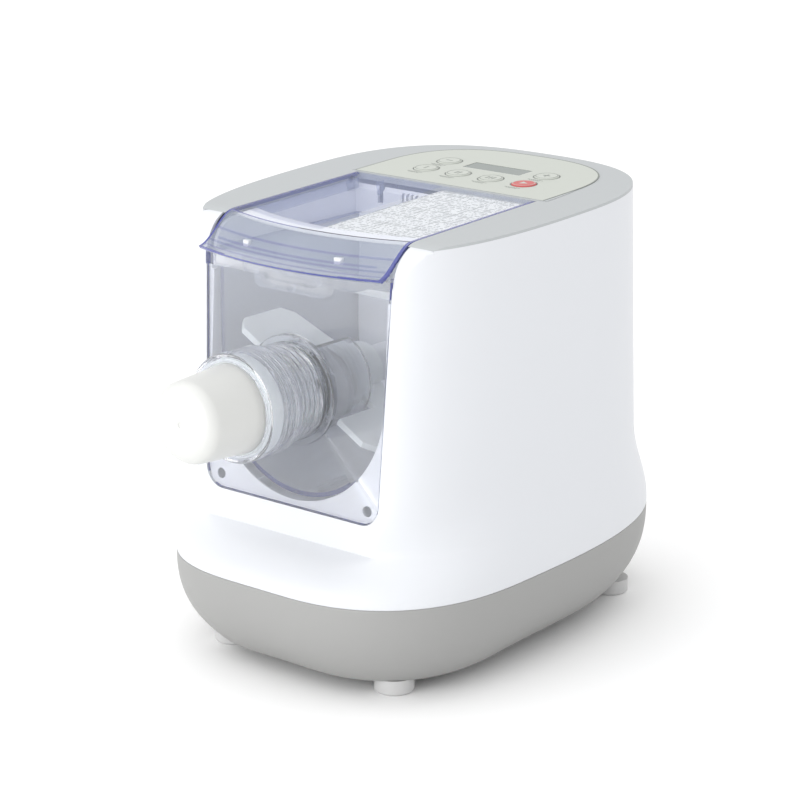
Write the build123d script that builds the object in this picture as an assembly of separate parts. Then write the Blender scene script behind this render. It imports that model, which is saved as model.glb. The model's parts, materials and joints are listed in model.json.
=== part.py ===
from build123d import *
import math
import os

# Electric pasta maker. Millimetres, +Z up, front towards -Y, table at z = 0.
# The origin is the middle of the footprint, under the extrusion axis.

# ---- walls and clearances ----
wall = 3.0                  # moulded shell and base
liner_wall = 2.3
clear_wall = 2.8            # transparent bowl and lid
slide_gap = 0.5             # between pieces that slide past each other
seat_gap = 0.25             # between pieces that rest on each other
shaft_gap = 0.06            # radial, round shafts in their bores

# ---- body plan: half width, front, rear, widest point, flat half width, powers ----
seam_height = 62.0
seam_half_width = 113.0
seam_front = -129.0
seam_rear = 189.5
seam_widest = -20.0
seam_flat = 18.0
seam_front_power = 2.45
seam_rear_power = 2.8
waist_height = 123.0
waist_half_width = 105.0
waist_rear = 161.0
waist_widest = 32.0
waist_flat = 58.0
waist_front_power = 2.6
waist_rear_power = 3.0
top_height = 271.9          # height of the sloping top above the origin
top_tilt = 2.233            # degrees, the top rises towards the rear
top_half_width = 106.3
top_rear = 151.5
top_widest = 42.0
top_rear_power = 2.7
flare_top = 92.0            # where the front skirt starts to run out
flare_bottom = 64.0
corner_steps = 6            # outline points in each quarter
beyond = 300.0              # reach of cutting tools, outside every piece

# ---- flat front face ----
facet_foot = -104.3         # where the leaning front plane meets z = 0
facet_lean = 0.0556         # it leans back by this much per millimetre of height
facet_depth = 3.0           # how far the rounded form stands before the plane
crease_height = 86.0
crease_slope = 0.5
front_corner_radius = 24.0

# ---- base tray and feet ----
base_bottom = 8.0
base_tuck = 26.0            # how far the bottom edge lies inside the seam
base_curve = 2.6
base_lip = 4.0
lip_rise = 1.4
foot_radius = 12.0
foot_across = 63.9
foot_front = -79.2
foot_rear = 140.3
foot_recess = 1.5
foot_hollow = 7.0
boss_radius = 5.0           # screw bosses that join the shell and the base
boss_length = 12.0
boss_across = 76.0
boss_front = -52.0
boss_rear = 66.0
screw_radius = 2.0
pedestal_across = 46.0      # posts under the chassis plate
pedestal_front = 58.0
pedestal_rear = 138.0
pedestal_radius = 7.0
vent_height = 92.9          # slots in the rear of the shell
vent_pitch = 7.0
vent_slot = 3.0
vent_length = 34.0
rear_vent_count = 9
floor_vent_pitch = 9.0      # slots under the motor bay
floor_vent_slot = 3.5
floor_vent_length = 52.0
floor_vent_count = 7
floor_vent_place = 30.0
gland_radius = 7.0          # grommet of the mains cord
gland_bore = 3.6
gland_flange = 2.0
gland_proud = 1.0
gland_height = 38.0
gland_across = -40.0

# ---- bay, window and bowl ----
bay_rear = 46.0
bay_floor = 104.8
bay_floor_half = 67.1
bay_splay = 0.0290          # each side wall leans out by this much per millimetre
bay_corner = 13.0
flange_reach = 4.0
flange_thickness = 2.4
flange_drop = 13.4          # flange top under the top of the front plate
axis_height = 175.4
bowl_radius = 66.2
rim_drop = 0.4              # bowl rim under the top of the front plate
rim_width = 2.0
rim_thickness = 2.5
rail_across = 28.0
rail_width = 3.0
bush_radius = 12.0
seal_radius = 13.0
peg_radius = 3.0            # locating pegs at the lower corners of the front plate
peg_across = 57.0
peg_rise = 8.2              # over the bay floor
peg_length = 9.0
slot_across = -49.0         # slot for the lid's switch tongue in the bay's rear wall
slot_width = 4.5
slot_height = 13.0
grille_across = -22.0       # air slots beside it
grille_bars = 6
grille_pitch = 3.6
grille_height = 9.0
lip_gap = 0.7               # front plate under the visor's lip
plate_thickness = 3.0
band_height = 10.0          # thicker band along the plate's top edge
band_rise = 1.6
tab_width = 56.0            # thumb tab in its middle
tab_drop = 16.0
tab_depth = 6.0

# ---- extrusion barrel, die, nut and cap ----
barrel_radius = 29.2
barrel_bore = 25.2
barrel_front = -136.0
chamber_rear = -56.0
flange_band = 9.4           # width of the die's flange inside the nut
plug_length = 1.5           # how far the die enters the barrel
die_radius = 28.8
die_boss_radius = 21.8
die_boss_length = 9.0
nut_radius = 32.1
nut_length = 27.0
nut_lip = 3.0
nut_mouth = 27.4
cap_radius = 26.4
cap_nose_radius = 23.6
cap_length = 43.6
cap_wall = 2.6
cap_rounding = 6.5
slot_count = 8

# ---- mixing screw ----
hub_radius = 11.0
screw_core = 8.0
screw_pitch = 30.0
screw_turns = 2.4
flight_steps = 20           # sections of the flight in each turn
flight_thickness = 4.0
blade_radius = 60.0
blade_front = -86.0
blade_length = 46.0
blade_inner = 32.0
blade_chamfer = 7.0
blade_thickness = 4.0
blade_angle = 30.0
arm_width = 22.0
collar_wall = 5.0
cup_radius = 20.0           # open cup on the collar's front, over the screw's rear end
cup_wall = 4.8
cup_length = 8.0

# ---- lid ----
lid_half_width = 69.3
lid_gap = 0.6
lid_thickness = 2.6
lid_rear_gap = 1.3
lid_skirt = 9.0
skirt_inset = 1.0
lid_front = -82.0
lid_bow_radius = 204.0
visor_reach = 28.5
visor_drop = 16.3
lip_thickness = 1.2
lip_inset = 0.6
pin_radius = 2.4
pin_inset = 5.0             # pivot axis before the lid's rear edge
pin_depth = 3.9             # pivot axis under the top surface
pin_length = 4.0
ear_length = 8.0            # hinge ears under the top cover
ear_width = 7.0
tongue_length = 9.0
label_inset = 4.0

# ---- top cover and controls ----
cover_edge = 1.6
cover_thickness = 4.2
panel_half_width = 75.5
panel_front = 48.0
panel_rear = 138.0
panel_power = 2.6
panel_thickness = 1.6
button_radius = 7.8
button_gap = 0.35
button_travel = 0.8
button_proud = 1.0
button_row = 75.5
button_pitch = 25.4
display_centre = 99.0
display_width = 44.0
display_depth = 14.4
board_depth = 14.0
board_thickness = 1.6
switch_height = 4.0
post_across = 62.0          # posts that carry the control board
post_front = 66.0
post_rear = 112.0
post_radius = 3.0

# ---- drive ----
shaft_radius = 6.0
hex_across = 10.0
hex_length = 14.0
box_front = 50.0
box_half_width = 44.0
box_wall = 3.0
box_depth = 32.0
box_headroom = 7.4          # over the output gear
final_module = 1.5
first_module = 1.25
big_teeth = 48
small_teeth = 12
final_face = 10.0
first_face = 8.0
gear_clearance = 2.5
addendum = 0.8              # in modules
dedendum = 1.2
motor_radius = 30.0
motor_length = 62.0
motor_cap = 5.0
pilot_radius = 11.0
bearing_radius = 11.0
rotor_radius = 3.0
fan_radius = 25.0
fan_width = 8.0
chassis_height = 40.0
chassis_thickness = 2.0
chassis_half_width = 58.0

# ---- worked out from the values above ----
tilt = math.radians(top_tilt)
top_frame = Location((0, 0, top_height), (top_tilt, 0, 0))
lip_height = (top_height + math.sin(tilt) * (lid_front - visor_reach + lip_inset)
              - math.cos(tilt) * (visor_drop + lip_thickness))
plate_top = lip_height - lip_gap
bowl_rim = plate_top - rim_drop
flange_top = plate_top - flange_drop
peg_height = bay_floor + peg_rise
idler_height = axis_height - final_module * (big_teeth + small_teeth) / 2
motor_height = idler_height - first_module * (big_teeth + small_teeth) / 2
final_front = box_front + box_wall + gear_clearance
first_front = final_front + final_face + gear_clearance
box_rear = box_front + box_depth
box_top = axis_height + final_module * (big_teeth / 2 + addendum) + box_headroom
bowl_rear = bay_rear - seat_gap - liner_wall - slide_gap
hub_rear = bowl_rear - clear_wall - 2.5
lid_rear = bay_rear - lid_rear_gap
boss_places = [(side * boss_across, along) for side in (-1, 1) for along in (boss_front, boss_rear)]
board_posts = [(side * post_across, along) for side in (-1, 1) for along in (post_front, post_rear)]
pedestal_places = [(side * pedestal_across, along) for side in (-1, 1)
                   for along in (pedestal_front, pedestal_rear)]


def front_plane(height):
    """Y of the leaning front face at a height."""
    return facet_foot + facet_lean * height


def top_plane(along):
    """Height of the sloping top at a Y."""
    return top_height + math.tan(tilt) * along


def blend(share, first, second):
    return first + (second - first) * share


def smooth(share):
    share = min(1.0, max(0.0, share))
    return share * share * (3 - 2 * share)


# ---------------------------------------------------------------- body form

def body_plan(height):
    """Half width, front, rear, widest point, flat half width and powers at a height."""
    if height >= waist_height:
        up = (height - waist_height) / (top_height - waist_height)
        half_width = blend(up, waist_half_width, top_half_width)
        rear = blend(up, waist_rear, top_rear)
        widest = blend(up, waist_widest, top_widest)
        rear_power = blend(up, waist_rear_power, top_rear_power)
        flat, front_power = waist_flat, waist_front_power
    else:
        down = smooth((waist_height - height) / (waist_height - flare_bottom))
        half_width = blend(down, waist_half_width, seam_half_width)
        rear = blend(down, waist_rear, seam_rear)
        widest = blend(down, waist_widest, seam_widest)
        rear_power = blend(down, waist_rear_power, seam_rear_power)
        flat = blend(down, waist_flat, seam_flat)
        front_power = blend(down, waist_front_power, seam_front_power)
    skirt = smooth((flare_top - height) / (flare_top - flare_bottom))
    front = blend(skirt, front_plane(height) - facet_depth, seam_front)
    return half_width, front, rear, widest, flat, front_power, rear_power


def plan_wire(plan, height, inset=0.0):
    """Closed outline: flat front, rounded front corners and a rounded rear."""
    half_width, front, rear, widest, flat, front_power, rear_power = plan
    half_width, front, rear = half_width - inset, front + inset, rear - inset
    right = [(flat / 3, front)]
    for step in range(corner_steps + 1):
        angle = math.pi / 2 * step / corner_steps
        across = math.sin(angle) ** (2 / front_power)
        along = math.cos(angle) ** (2 / front_power)
        right.append((flat + (half_width - flat) * across, widest - (widest - front) * along))
    for step in range(1, corner_steps):
        angle = math.pi / 2 * step / corner_steps
        across = math.cos(angle) ** (2 / rear_power)
        along = math.sin(angle) ** (2 / rear_power)
        right.append((half_width * across, widest + (rear - widest) * along))
    left = [(-x, y) for x, y in reversed(right)]
    points = right + [(0, rear)] + left
    return Wire([Spline(*[(x, y, height) for x, y in points], periodic=True)])


def half_width_at(plan, along):
    """Half width of an outline at a Y."""
    half_width, front, rear, widest, flat, front_power, rear_power = plan
    if along < widest:
        share = (widest - along) / (widest - front)
        return flat + (half_width - flat) * (1 - share ** front_power) ** (1 / front_power)
    share = (along - widest) / (rear - widest)
    return half_width * (1 - share ** rear_power) ** (1 / rear_power)


def facet_cutter(inset):
    """Everything before the flat front face, down to the crease above the skirt."""
    reach, high = 300.0, 400.0
    foot = front_plane(crease_height) + inset
    side = Polygon((foot, crease_height), (front_plane(high) + inset, high), (-reach, high),
                   (-reach, crease_height - crease_slope * (foot + reach)), align=None)
    return extrude(Plane.YZ.offset(-reach) * side, 2 * reach)


def corner_centre(radius):
    """Y and Z of the centre of the rounding between the front face and the top."""
    height = top_height - radius - 2.0
    for _ in range(4):
        along = front_plane(height) + radius * 1.03
        height = top_plane(along) - radius
    return along, height


def corner_cutter(inset):
    """What lies outside the rounded edge between the front face and the top."""
    along, height = corner_centre(front_corner_radius)
    reach = 300.0
    block = Pos(0, along - reach / 2, height + reach / 2) * Box(2 * reach, reach, reach)
    roll = Pos(0, along, height) * Rot(0, 90, 0) * Cylinder(front_corner_radius - inset, 3 * reach)
    return block - roll


def above_top(depth):
    """Half space over a plane that lies depth under the sloping top."""
    return top_frame * Pos(0, 0, 200 - depth) * Box(800, 800, 400)


def body_form(inset, depth):
    """Solid form of the upper body, inset from its skin and depth under its top."""
    heights = [seam_height - inset, 66, 74, 83, flare_top, 106, waist_height, top_height + 40]
    wires = [plan_wire(body_plan(height), height, inset) for height in heights]
    form = Solid.make_loft(wires, ruled=True)
    return form - [facet_cutter(inset), corner_cutter(inset), above_top(depth)]


def bay_half(height):
    return bay_floor_half + bay_splay * (height - bay_floor)


def bay_outline(inset, high=330.0):
    """U-shaped section of the bay in X and Z, inset from the opening in the shell."""
    floor = bay_floor + inset
    half_low = bay_half(floor) - inset
    half_high = bay_half(high) - inset
    shape = Polygon((-half_low, floor), (half_low, floor), (half_high, high), (-half_high, high), align=None)
    corners = shape.vertices().sort_by(Axis.Y)[:2]
    return fillet(corners, bay_corner - inset)


def along_y(face, start, end):
    """Extrude a face drawn in X and Z from one Y to another."""
    return extrude(Plane.XZ.offset(-start) * face, -(end - start))


def ring(outer, inner, start, end, height=axis_height):
    """Round tube on an axis along Y."""
    face = Pos(0, height) * (Circle(outer) - Circle(inner))
    return along_y(face, start, end)


def disc(radius, start, end, height=axis_height, across=0.0):
    return along_y(Pos(across, height) * Circle(radius), start, end)


def front_slab(near, far, width=400.0, low=0.0, high=400.0):
    """Leaning slab between two distances behind the front face."""
    side = Polygon((front_plane(low) + near, low), (front_plane(low) + far, low),
                   (front_plane(high) + far, high), (front_plane(high) + near, high), align=None)
    return extrude(Plane.YZ.offset(-width / 2) * side, width)


# ---------------------------------------------------------------- housing


def slot_row(count, pitch, width, length, depth):
    """Row of rounded slots cut along Y, side by side along X."""
    face = Sketch()
    for step in range(count):
        face += Pos((step - (count - 1) / 2) * pitch, 0) * Rot(0, 0, 90) * SlotOverall(length, width)
    return extrude(Plane.XZ * face, -depth)


def make_body_shell():
    posts, holes = [], []
    for across, along in boss_places:
        side = math.copysign(1, across)
        middle = seam_height + boss_length / 2
        posts.append(Pos(across, along, middle) * Cylinder(boss_radius, boss_length))
        skin = min(half_width_at(body_plan(height), along) for height in (seam_height, seam_height + boss_length))
        reach = skin - wall / 2 - abs(across)
        web_middle = seam_height + (boss_length + base_lip) / 2
        posts.append(Pos(across + side * reach / 2, along, web_middle) * Box(reach, wall, boss_length - base_lip))
        holes.append(Pos(across, along, middle - 1) * Cylinder(screw_radius, boss_length))
    bay = along_y(bay_outline(0), -beyond, bay_rear)
    vents = slot_row(rear_vent_count, vent_pitch, vent_slot, vent_length, 60)
    vents = Pos(0, waist_rear - 25, vent_height) * vents
    shell = body_form(0, cover_edge) - [body_form(wall, -10), bay, vents]
    return shell + posts - holes


def base_wire(height, inset):
    share = max(0.0, (seam_height - height) / (seam_height - base_bottom))
    tuck = base_tuck * share ** base_curve
    return plan_wire(body_plan(seam_height), height, tuck + inset)


def make_base_tray():
    heights = [seam_height, 50, 37, 26, 16, base_bottom]
    outer = Solid.make_loft([base_wire(height, 0) for height in heights], ruled=True)
    heights[-1] = base_bottom + wall
    inner = Solid.make_loft([base_wire(height, wall) for height in [seam_height + 1] + heights[1:]], ruled=True)
    lip_plan = body_plan(seam_height)
    rim_low = seam_height - base_lip
    rim = extrude(Face(plan_wire(lip_plan, rim_low, wall + seat_gap)), base_lip + lip_rise)
    rim += extrude(Face(plan_wire(lip_plan, rim_low, wall - seat_gap)), base_lip)
    rim -= extrude(Face(plan_wire(lip_plan, rim_low, wall + 2)), 2 * base_lip)
    floor = base_bottom + wall
    solids, cuts = [], []
    for across, along in boss_places:
        solids.append(Pos(across, along, (floor - 1 + seam_height) / 2) * Cylinder(boss_radius, seam_height - floor + 1))
        cuts.append(Pos(across, along, seam_height / 2) * Cylinder(screw_radius + 0.3, seam_height + 2))
        cuts.append(Pos(across, along, base_bottom + 3) * Cylinder(boss_radius - 1.2, 12))
    for across, along in foot_places():
        middle = base_bottom + foot_recess / 2 - 0.5
        cuts.append(Pos(across, along, middle) * Cylinder(foot_radius + 0.2, foot_recess + 1))
    for across, along in pedestal_places:
        solids.append(Pos(across, along, (floor - 1 + chassis_height) / 2) *
                      Cylinder(pedestal_radius, chassis_height - floor + 1))
    for step in range(floor_vent_count):
        place = Pos((step - (floor_vent_count - 1) / 2) * floor_vent_pitch, floor_vent_place, base_bottom + wall / 2)
        cuts.append(place * Box(floor_vent_slot, floor_vent_length, wall + 4))
    cuts.append(disc(gland_radius + shaft_gap, gland_skin() - 40, gland_skin() + 40, gland_height, gland_across))
    return (outer - inner) + [rim] + solids - cuts


def foot_places():
    return [(side * foot_across, along) for along in (foot_front, foot_rear) for side in (-1, 1)]


def make_foot(across, along):
    top = base_bottom + foot_recess
    foot = Pos(0, 0, top / 2) * Cylinder(foot_radius, top)
    foot = chamfer(foot.edges().sort_by(Axis.Z)[0], 1.2)
    foot -= Pos(0, 0, 1.5) * Cylinder(foot_hollow, 3.0)
    return Pos(across, along, 0) * foot


def make_base_screws():
    screws = []
    for across, along in boss_places:
        low = base_bottom + 9
        head = Pos(across, along, low - 1.5) * Cylinder(screw_radius + 1.6, 3)
        shank = Pos(across, along, low + 27) * Cylinder(screw_radius - 0.1, 54)
        screws.append(head + shank)
    return Compound(children=screws)


# ---------------------------------------------------------------- bay liner

def make_bay_liner():
    outer = bay_outline(seat_gap)
    inner = bay_outline(seat_gap + liner_wall)
    front = front_slab(plate_thickness + seat_gap * 2, 400)
    trough = along_y(outer, -150, bay_rear - seat_gap) - along_y(inner, -160, bay_rear - seat_gap - liner_wall)
    trough = trough & front
    flange_low = bay_floor - flange_reach
    flange_half = bay_half(axis_height) + flange_reach
    flange_face = Pos(0, (flange_low + flange_top) / 2) * Rectangle(2 * flange_half, flange_top - flange_low)
    flange = along_y(flange_face, -150, 0)
    flange &= front_slab(plate_thickness + seat_gap * 2, plate_thickness + seat_gap * 2 + flange_thickness)
    passage = bowl_section(bowl_radius + slide_gap, 400)
    flange -= along_y(passage, -160, 0)
    flange &= body_form(wall + seat_gap, cover_thickness)
    liner = trough + flange
    for side in (-1, 1):
        low = bay_floor + seat_gap
        top = axis_height - math.sqrt(bowl_radius ** 2 - rail_across ** 2) - seat_gap
        face = Pos(side * (rail_across + rail_width / 2), (low + top) / 2) * Rectangle(rail_width, top - low)
        liner += along_y(face, front_plane(bay_floor) + plate_thickness + 1, bay_rear - 1)
    liner -= above_top(cover_thickness + seat_gap)
    liner -= corner_cutter(wall + 2)
    liner -= disc(seal_radius, bay_rear - 10, bay_rear + 5)
    pivot = Pos(0, lid_rear - pin_inset, -pin_depth)
    ear_middle = lid_half_width + lid_gap + ear_width / 2
    for side in (-1, 1):
        notch = pivot * Pos(side * ear_middle, 0, 0) * Box(ear_width + 4, ear_length + 2 * slide_gap, 14)
        liner -= top_frame * notch
    tail_radius = pin_inset + lid_rear_gap - seat_gap
    liner -= top_frame * pivot * Rot(0, 90, 0) * Cylinder(tail_radius + slide_gap, 2 * (lid_half_width + lid_gap))
    top_local = top_plane(bay_rear) - cover_thickness
    liner -= Pos(slot_across, bay_rear, top_local - slot_height / 2) * Box(slot_width, 12, slot_height)
    for step in range(grille_bars):
        across = grille_across + (step - (grille_bars - 1) / 2) * grille_pitch
        liner -= Pos(across, bay_rear, top_local - grille_height) * Box(grille_pitch / 2, 12, grille_height)
    for side in (-1, 1):
        liner -= disc(peg_radius + 0.3, -120, -60, peg_height, side * peg_across)
    return liner


def make_shaft_seal():
    seal = ring(seal_radius - 0.05, shaft_radius + shaft_gap, bowl_rear + seat_gap, bay_rear + 1)
    seal += ring(seal_radius + 2, shaft_radius + 3, bay_rear - seat_gap, bay_rear + 2)
    return seal


# ---------------------------------------------------------------- bowl

def bowl_section(radius, high):
    """U section: half circle about the screw axis with straight walls above it."""
    lower = Pos(0, axis_height) * Circle(radius)
    upper = Pos(0, (axis_height + high) / 2) * Rectangle(2 * radius, high - axis_height)
    return lower + upper


def make_mixing_bowl():
    outer = along_y(bowl_section(bowl_radius, bowl_rim), -140, bowl_rear)
    inner = along_y(bowl_section(bowl_radius - clear_wall, 400), -150, bowl_rear - clear_wall)
    bowl = outer - inner
    for side in (-1, 1):
        face = Pos(side * (bowl_radius + rim_width / 2 - 0.5), bowl_rim - rim_thickness / 2)
        bowl += along_y(face * Rectangle(rim_width + 1, rim_thickness), -140, bowl_rear)
        for along in (-24, 2):
            bowl -= Pos(side * (bowl_radius + rim_width / 2), along, bowl_rim) * Cylinder(0.9, 12)
    bowl &= front_slab(plate_thickness + seat_gap * 2, 400)
    bowl -= corner_cutter(wall + 4)
    bowl -= disc(bush_radius, bowl_rear - 10, bowl_rear + 5)
    return bowl


def make_bowl_bush():
    bush = ring(bush_radius - 0.05, shaft_radius + 0.3, bowl_rear - clear_wall, bowl_rear)
    bush += ring(bush_radius + 2, shaft_radius + 0.3, bowl_rear - clear_wall - 1.5, bowl_rear - clear_wall)
    return bush


# ---------------------------------------------------------------- front plate

def make_front_plate():
    inset = slide_gap
    sheet = along_y(bay_outline(inset, plate_top), -140, -60)
    plate = sheet & front_slab(seat_gap, seat_gap + plate_thickness)
    band = along_y(bay_outline(inset, plate_top) & (Pos(0, plate_top - band_height / 2) * Rectangle(200, band_height)),
                   -140, -60)
    plate += band & front_slab(seat_gap - band_rise, seat_gap + plate_thickness)
    tab_face = Pos(0, plate_top - tab_drop / 2) * RectangleRounded(tab_width, tab_drop, 5)
    tab = along_y(tab_face, -140, -60) & front_slab(seat_gap - tab_depth, seat_gap + 1)
    tab -= along_y(Pos(0, plate_top - tab_drop / 2) * SlotOverall(tab_width - 16, 5), -140, front_plane(plate_top))
    plate += tab
    rear_face = front_plane(axis_height)
    plate += disc(barrel_radius + 4, rear_face - 3, rear_face + plate_thickness)
    plate += disc(barrel_radius, barrel_front, rear_face + plate_thickness)
    chamber = disc(barrel_bore + clear_wall, rear_face, chamber_rear)
    window = Pos(-15, (rear_face + 8 + chamber_rear) / 2 + 2, axis_height + 23)
    chamber -= window * Box(50, chamber_rear - rear_face - 4, 30)
    plate += chamber
    plate -= disc(barrel_bore, -beyond, chamber_rear + 5)
    for side in (-1, 1):
        peg_front = front_plane(peg_height) + 1
        plate += disc(peg_radius, peg_front, peg_front + peg_length, peg_height, side * peg_across)
    for turn in (90, 270):
        lug = Pos(0, 0, barrel_radius) * Box(8, 3, 4)
        plate += Pos(0, rear_face - 7, axis_height) * Rot(0, turn - 60, 0) * lug
    return plate


# ---------------------------------------------------------------- die, nut and cap

def make_die():
    seat = barrel_front - seat_gap
    face = seat - flange_band
    die = disc(die_radius, face, seat) + disc(barrel_bore - slide_gap, seat, seat + plug_length)
    die += disc(die_boss_radius, face - die_boss_length, face)
    die -= ring(die_boss_radius - 3, 0.001, face - die_boss_length - 1, face + 3)
    die -= disc(4.3, seat - 3, seat + 6)
    for step in range(slot_count):
        across = 11.5 * math.cos(2 * math.pi * step / slot_count)
        up = 11.5 * math.sin(2 * math.pi * step / slot_count)
        hole = Pos(across, axis_height + up) * Rot(0, 0, 360 / slot_count * step) * SlotOverall(9, 2.4)
        die -= along_y(hole, face - 5, seat + 10)
    return die


def make_nut():
    seat = barrel_front - seat_gap
    front = seat - flange_band - seat_gap - nut_lip
    nut = disc(nut_radius, front, front + nut_length)
    nut = chamfer(nut.edges().filter_by(GeomType.CIRCLE).sort_by(Axis.Y)[0], 1.6)
    nut = chamfer(nut.edges().filter_by(GeomType.CIRCLE).sort_by(Axis.Y)[-1], 1.0)
    nut -= disc(barrel_radius + 0.3, front + nut_lip, front + nut_length + 1)
    nut -= disc(nut_mouth, front - 1, front + nut_lip + 1)
    return nut


def make_cap():
    base = barrel_front - seat_gap - flange_band - seat_gap
    profile = Plane.XZ.offset(-base) * Circle(cap_radius)
    nose = Plane.XZ.offset(-(base - cap_length)) * Circle(cap_nose_radius)
    cap = loft([profile, nose])
    cap = fillet(cap.edges().filter_by(GeomType.CIRCLE).sort_by(Axis.Y)[0], cap_rounding)
    hollow = Plane.XZ.offset(-(base + 0.01)) * Circle(die_boss_radius + 0.3)
    deep = Plane.XZ.offset(-(base - cap_length + cap_wall * 2)) * Circle(cap_nose_radius - cap_wall - 2.5)
    cap -= loft([hollow, deep])
    cap -= disc(die_boss_radius + 0.3, base - die_boss_length - 1, base + 1, 0)
    return Pos(0, 0, axis_height) * cap


# ---------------------------------------------------------------- mixing screw

def make_mixing_screw():
    """Core with a helical flight in the barrel, a hub and a hex socket at the rear."""
    tip = barrel_front + 2
    flight_rear = tip + screw_turns * screw_pitch
    core = disc(screw_core, tip, flight_rear + 12) + disc(3.9, tip - 4, tip)
    core += disc(hub_radius, flight_rear, hub_rear)
    reach, half = barrel_bore - slide_gap, flight_thickness / 2
    sections = []
    for step in range(round((screw_turns - flight_thickness / screw_pitch) * flight_steps) + 1):
        turn = step / flight_steps
        section = Polygon((screw_core - 2, -half), (reach, -half), (reach, half), (screw_core - 2, half), align=None)
        place = Pos(0, tip + half + turn * screw_pitch, axis_height) * Rot(0, 360 * turn, 0)
        sections.append((place * section).wire())
    flight = Solid.make_loft(sections, ruled=True)
    core += flight
    core -= along_y(Pos(0, axis_height) * hexagon(hex_across + 0.4), hub_rear - hex_length - 1, hub_rear + 1)
    return core


def hexagon(across):
    return RegularPolygon(across / 2, 6, major_radius=False)


def make_paddle():
    """Two opposed blades on one collar; each reaches forward over the chamber."""
    rear = blade_front + blade_length
    arm_front = chamber_rear + 3
    collar = ring(hub_radius + collar_wall, hub_radius + 0.02, arm_front, arm_front + arm_width)
    collar += ring(cup_radius, cup_radius - cup_wall, arm_front - cup_length, arm_front + 2)
    outline_points = [
        (hub_radius + 1, arm_front), (blade_inner, arm_front), (blade_inner, blade_front),
        (blade_radius - blade_chamfer, blade_front), (blade_radius, blade_front + blade_chamfer),
        (blade_radius, rear - blade_chamfer), (blade_radius - blade_chamfer, rear),
        (hub_radius + 1, arm_front + arm_width)]
    blade_face = Polygon(*outline_points, align=None)
    blade = Pos(0, 0, -blade_thickness / 2) * extrude(blade_face, blade_thickness)
    paddle = collar
    for turn in (0, 180):
        paddle += Pos(0, 0, axis_height) * Rot(0, turn + blade_angle + 180, 0) * blade
    return paddle - disc(hub_radius + 0.02, arm_front - 50, arm_front + arm_width + 50)


# ---------------------------------------------------------------- lid

def visor_profile():
    """Section of the visor in the lid's own Y and Z, thickened inwards."""
    start = lid_front
    share = [(0.0, 0.0), (0.2, 0.12), (0.42, 0.34), (0.63, 0.69), (0.82, 0.92), (1.0, 1.0)]
    outer = [(start - visor_reach * along, -visor_drop * down) for along, down in share]
    inner = [(y + clear_wall * 0.75, z - clear_wall * 0.75) for y, z in outer]
    inner[0] = (start + 1, -lid_thickness)
    inner[-1] = (outer[-1][0] + lip_inset, outer[-1][1] - lip_thickness)
    top = Spline(*outer)
    bottom = Spline(*reversed(inner))
    return make_face([Line((start + 1, 0), outer[0]), top, Line(outer[-1], inner[-1]), bottom,
                      Line(inner[0], (start + 1, 0))])


def make_lid_cover():
    centre = lid_front + lid_bow_radius
    reach = Pos(0, lid_rear - 100, -lid_thickness / 2) * Box(2 * lid_half_width, 200, lid_thickness)
    lid = reach & (Pos(0, centre, -lid_thickness / 2) * Cylinder(lid_bow_radius - 0.5, lid_thickness))
    sector = math.degrees(math.asin((lid_half_width + 4) / lid_bow_radius))
    section = Plane.YZ * visor_profile()
    visor = revolve(section, Axis((0, centre, 0), (0, 0, 1)), 2 * sector)
    visor = Pos(0, centre, 0) * Rot(0, 0, -sector) * Pos(0, -centre, 0) * visor
    lid += visor & Box(2 * lid_half_width, 600, 200)
    for side in (-1, 1):
        across = side * (lid_half_width - skirt_inset - clear_wall / 2)
        skirt_front, skirt_rear = lid_front + 20, lid_rear - pin_inset + pin_radius
        skirt = Pos(across, (skirt_front + skirt_rear) / 2, -lid_skirt / 2)
        lid += skirt * Box(clear_wall, skirt_rear - skirt_front, lid_skirt)
        pin = Pos(side * (lid_half_width + pin_length / 2 - 1), lid_rear - pin_inset, -pin_depth)
        lid += pin * Rot(0, 90, 0) * Cylinder(pin_radius, pin_length + 2)
    swing = Pos(0, lid_rear - pin_inset, -pin_depth) * Rot(0, 90, 0)
    tail_radius = pin_inset + lid_rear_gap - seat_gap
    tail = Pos(0, lid_rear, -15) * Box(400, 2 * pin_inset, 30)
    lid -= tail - swing * Cylinder(tail_radius, 500)
    tongue = Pos(slot_across, lid_rear - pin_inset + 3.0, -7) * Box(slot_width - 2, 5.2, tongue_length)
    return top_frame * (lid + tongue)


def make_lid_label():
    """Printed card under the right half of the lid."""
    long = lid_rear - lid_front - 30
    card = Pos(lid_half_width / 2 - 1, (lid_rear + lid_front) / 2 + 3, -lid_thickness - 0.3)
    return top_frame * (card * Box(lid_half_width - 2 * label_inset, long, 0.4))


# ---------------------------------------------------------------- top cover and controls

def panel_wire(inset, height):
    """Panel outline: straight along the lid and a rounded arch behind."""
    half_width = panel_half_width - inset
    front, rear = panel_front + inset, panel_rear - inset
    points = []
    for step in range(4 * corner_steps + 1):
        angle = math.pi * step / (4 * corner_steps)
        across = math.copysign(abs(math.cos(angle)) ** (2 / panel_power), math.cos(angle))
        along = math.sin(angle) ** (2 / panel_power)
        points.append((half_width * across, front + (rear - front) * along, height))
    return Wire([Spline(*points), Line(points[-1], points[0])])


def button_places():
    rows = [(button_pitch * (step - 1.5), button_row) for step in range(4)]
    return rows + [(side * button_pitch * 1.5, display_centre) for side in (-1, 1)]


def button_openings(extra, depth):
    holes = [Pos(x, y, -depth / 2) * Cylinder(button_radius + extra, depth + 6) for x, y in button_places()]
    window = Pos(0, display_centre, -depth / 2) * Box(display_width + 2 * extra, display_depth + 2 * extra, depth + 6)
    return holes + [window]


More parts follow.
